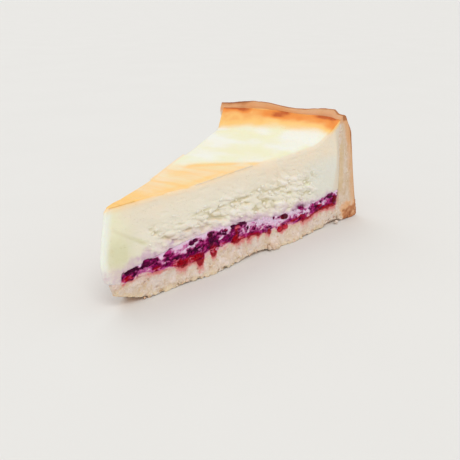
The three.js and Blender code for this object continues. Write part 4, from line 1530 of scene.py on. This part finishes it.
# %% [markdown]
# ## Crumbs
#
# Cutting the cake leaves crumbs: pastry crumbs cling to the broken lower edges, with a few large ones where
# most of the edge broke away, and small curds cling to the torn quark. They use the same unit lump, with
# sharper crumpling for the dry pastry. The crumbs get a material of their own, and some are a little
# browner than the cut, because they come from the baked underside.

# %% Pastry crumbs
SMALL_UNIT = unit_lump(2)
EDGE_CRUMBS = 70
EDGE_REACH = (10, 106)
# Each large crumb has its radius, its height, its half length and its half height
LARGE_CRUMBS = [(73.0, 1.3, 2.0, 1.3), (75.6, 1.0, 1.6, 1.0), (71.2, 1.5, 1.0, 0.9), (114.2, 1.0, 1.0, 0.8)]


def crumb_copies(side, draw):
    directions = cut_directions(side)
    found = []
    for _ in range(EDGE_CRUMBS):
        radius = draw.uniform(*EDGE_REACH)
        size = draw.uniform(0.22, 0.75)
        z = max(size * 0.7, abs(draw.normal(0.5, 0.9)) + float(hills(CHIPS, radius)) * 0.6)
        at = (np.array([value]) for value in (radius, 0.5 + 0.5 * side, z))
        out = float(outward_swelling(*at)[0])
        place = cut_place(radius, z, side) + directions[2] * (out - 0.25)
        sizes = size * np.array((1, draw.uniform(0.6, 1), draw.uniform(0.6, 1)))
        found.append(lump_copy(SMALL_UNIT[0], place, sizes, directions, draw.uniform(0, 3), 0, 0.7,
                               draw.uniform(0, 90)))
    for radius, z, length, height in LARGE_CRUMBS:
        place = cut_place(radius, z, side) + directions[2] * 1.1
        found.append(lump_copy(SMALL_UNIT[0], place, np.array((length, height, height)), directions,
                               draw.uniform(0, 3), 0, 0.6, draw.uniform(0, 90)))
    return found


def crumb_material():
    material, tree, shader = new_material("loose crumbs")
    crumb = use_group(tree, FINE_CRUMB, {"Grain Size": 0.3, "Pore Size": 0.6, "Pore Share": 0.4})
    stained = pastry_colour(tree, mask(tree, "browning"), 0.0, crumb)
    fill(tree, shader.inputs["Base Color"], stained["Color"])
    fill(tree, shader.inputs["Roughness"], stretch(tree, crumb["Shade"], 0.2, 0.7, 0.9, 0.75))
    add_bump(tree, shader, crumb["Height"], 0.7, 0.25)
    set_shader(shader, {"Specular IOR Level": 0.25})
    return material


crumb_draw = np.random.default_rng(37)
crumbs = crumb_copies(-1, crumb_draw) + crumb_copies(1, crumb_draw)
crumb_shape = join_lumps(SMALL_UNIT, crumbs)
crumb_shape["points"][:, 2] = np.maximum(crumb_shape["points"][:, 2], 0)
crumb_browning = (0.3 * crumb_draw.random(len(crumbs)) ** 1.5)[crumb_shape["copy"]]
make_piece("pastry_crumbs", crumb_shape, {"browning": crumb_browning}, crumb_material())

# %% Clinging curds
CURD_COUNT = 120
CURD_REACH = (14, 104)
CURD_CLEARANCE = 2.2


def curd_copies(side, draw):
    directions = cut_directions(side)
    found = []
    for _ in range(CURD_COUNT // 2):
        radius = draw.uniform(*CURD_REACH)
        z = draw.uniform(float(layer_ceiling(radius, 0.0)) + CURD_CLEARANCE, CRUMBLY_TOP + 1)
        length = draw.uniform(0.35, 1.0)
        sizes = np.array((length, length * draw.uniform(0.45, 0.75), draw.uniform(0.2, 0.4)))
        place = cut_place(radius, z, side) - directions[2] * 0.12
        found.append(lump_copy(SMALL_UNIT[0], place, sizes, directions, draw.normal(0.1, 0.4),
                               0, 0.35, draw.uniform(0, 90)))
    return found


curd_draw = np.random.default_rng(41)
curds = curd_copies(-1, curd_draw) + curd_copies(1, curd_draw)
curd_shape = join_lumps(SMALL_UNIT, curds)
curd_level = (0.3 * curd_draw.random(len(curds)))[curd_shape["copy"]]
nothing = 0 * curd_level
# The clinging curds get half of the painted curd highlight and no painted crevice shade
curd_values = dict.fromkeys(quark_mask_values, nothing) | {"curd_highlight": 0.5 + nothing, "level": curd_level}
make_piece("clinging_curds", curd_shape, curd_values, bpy.data.materials["baked quark"])
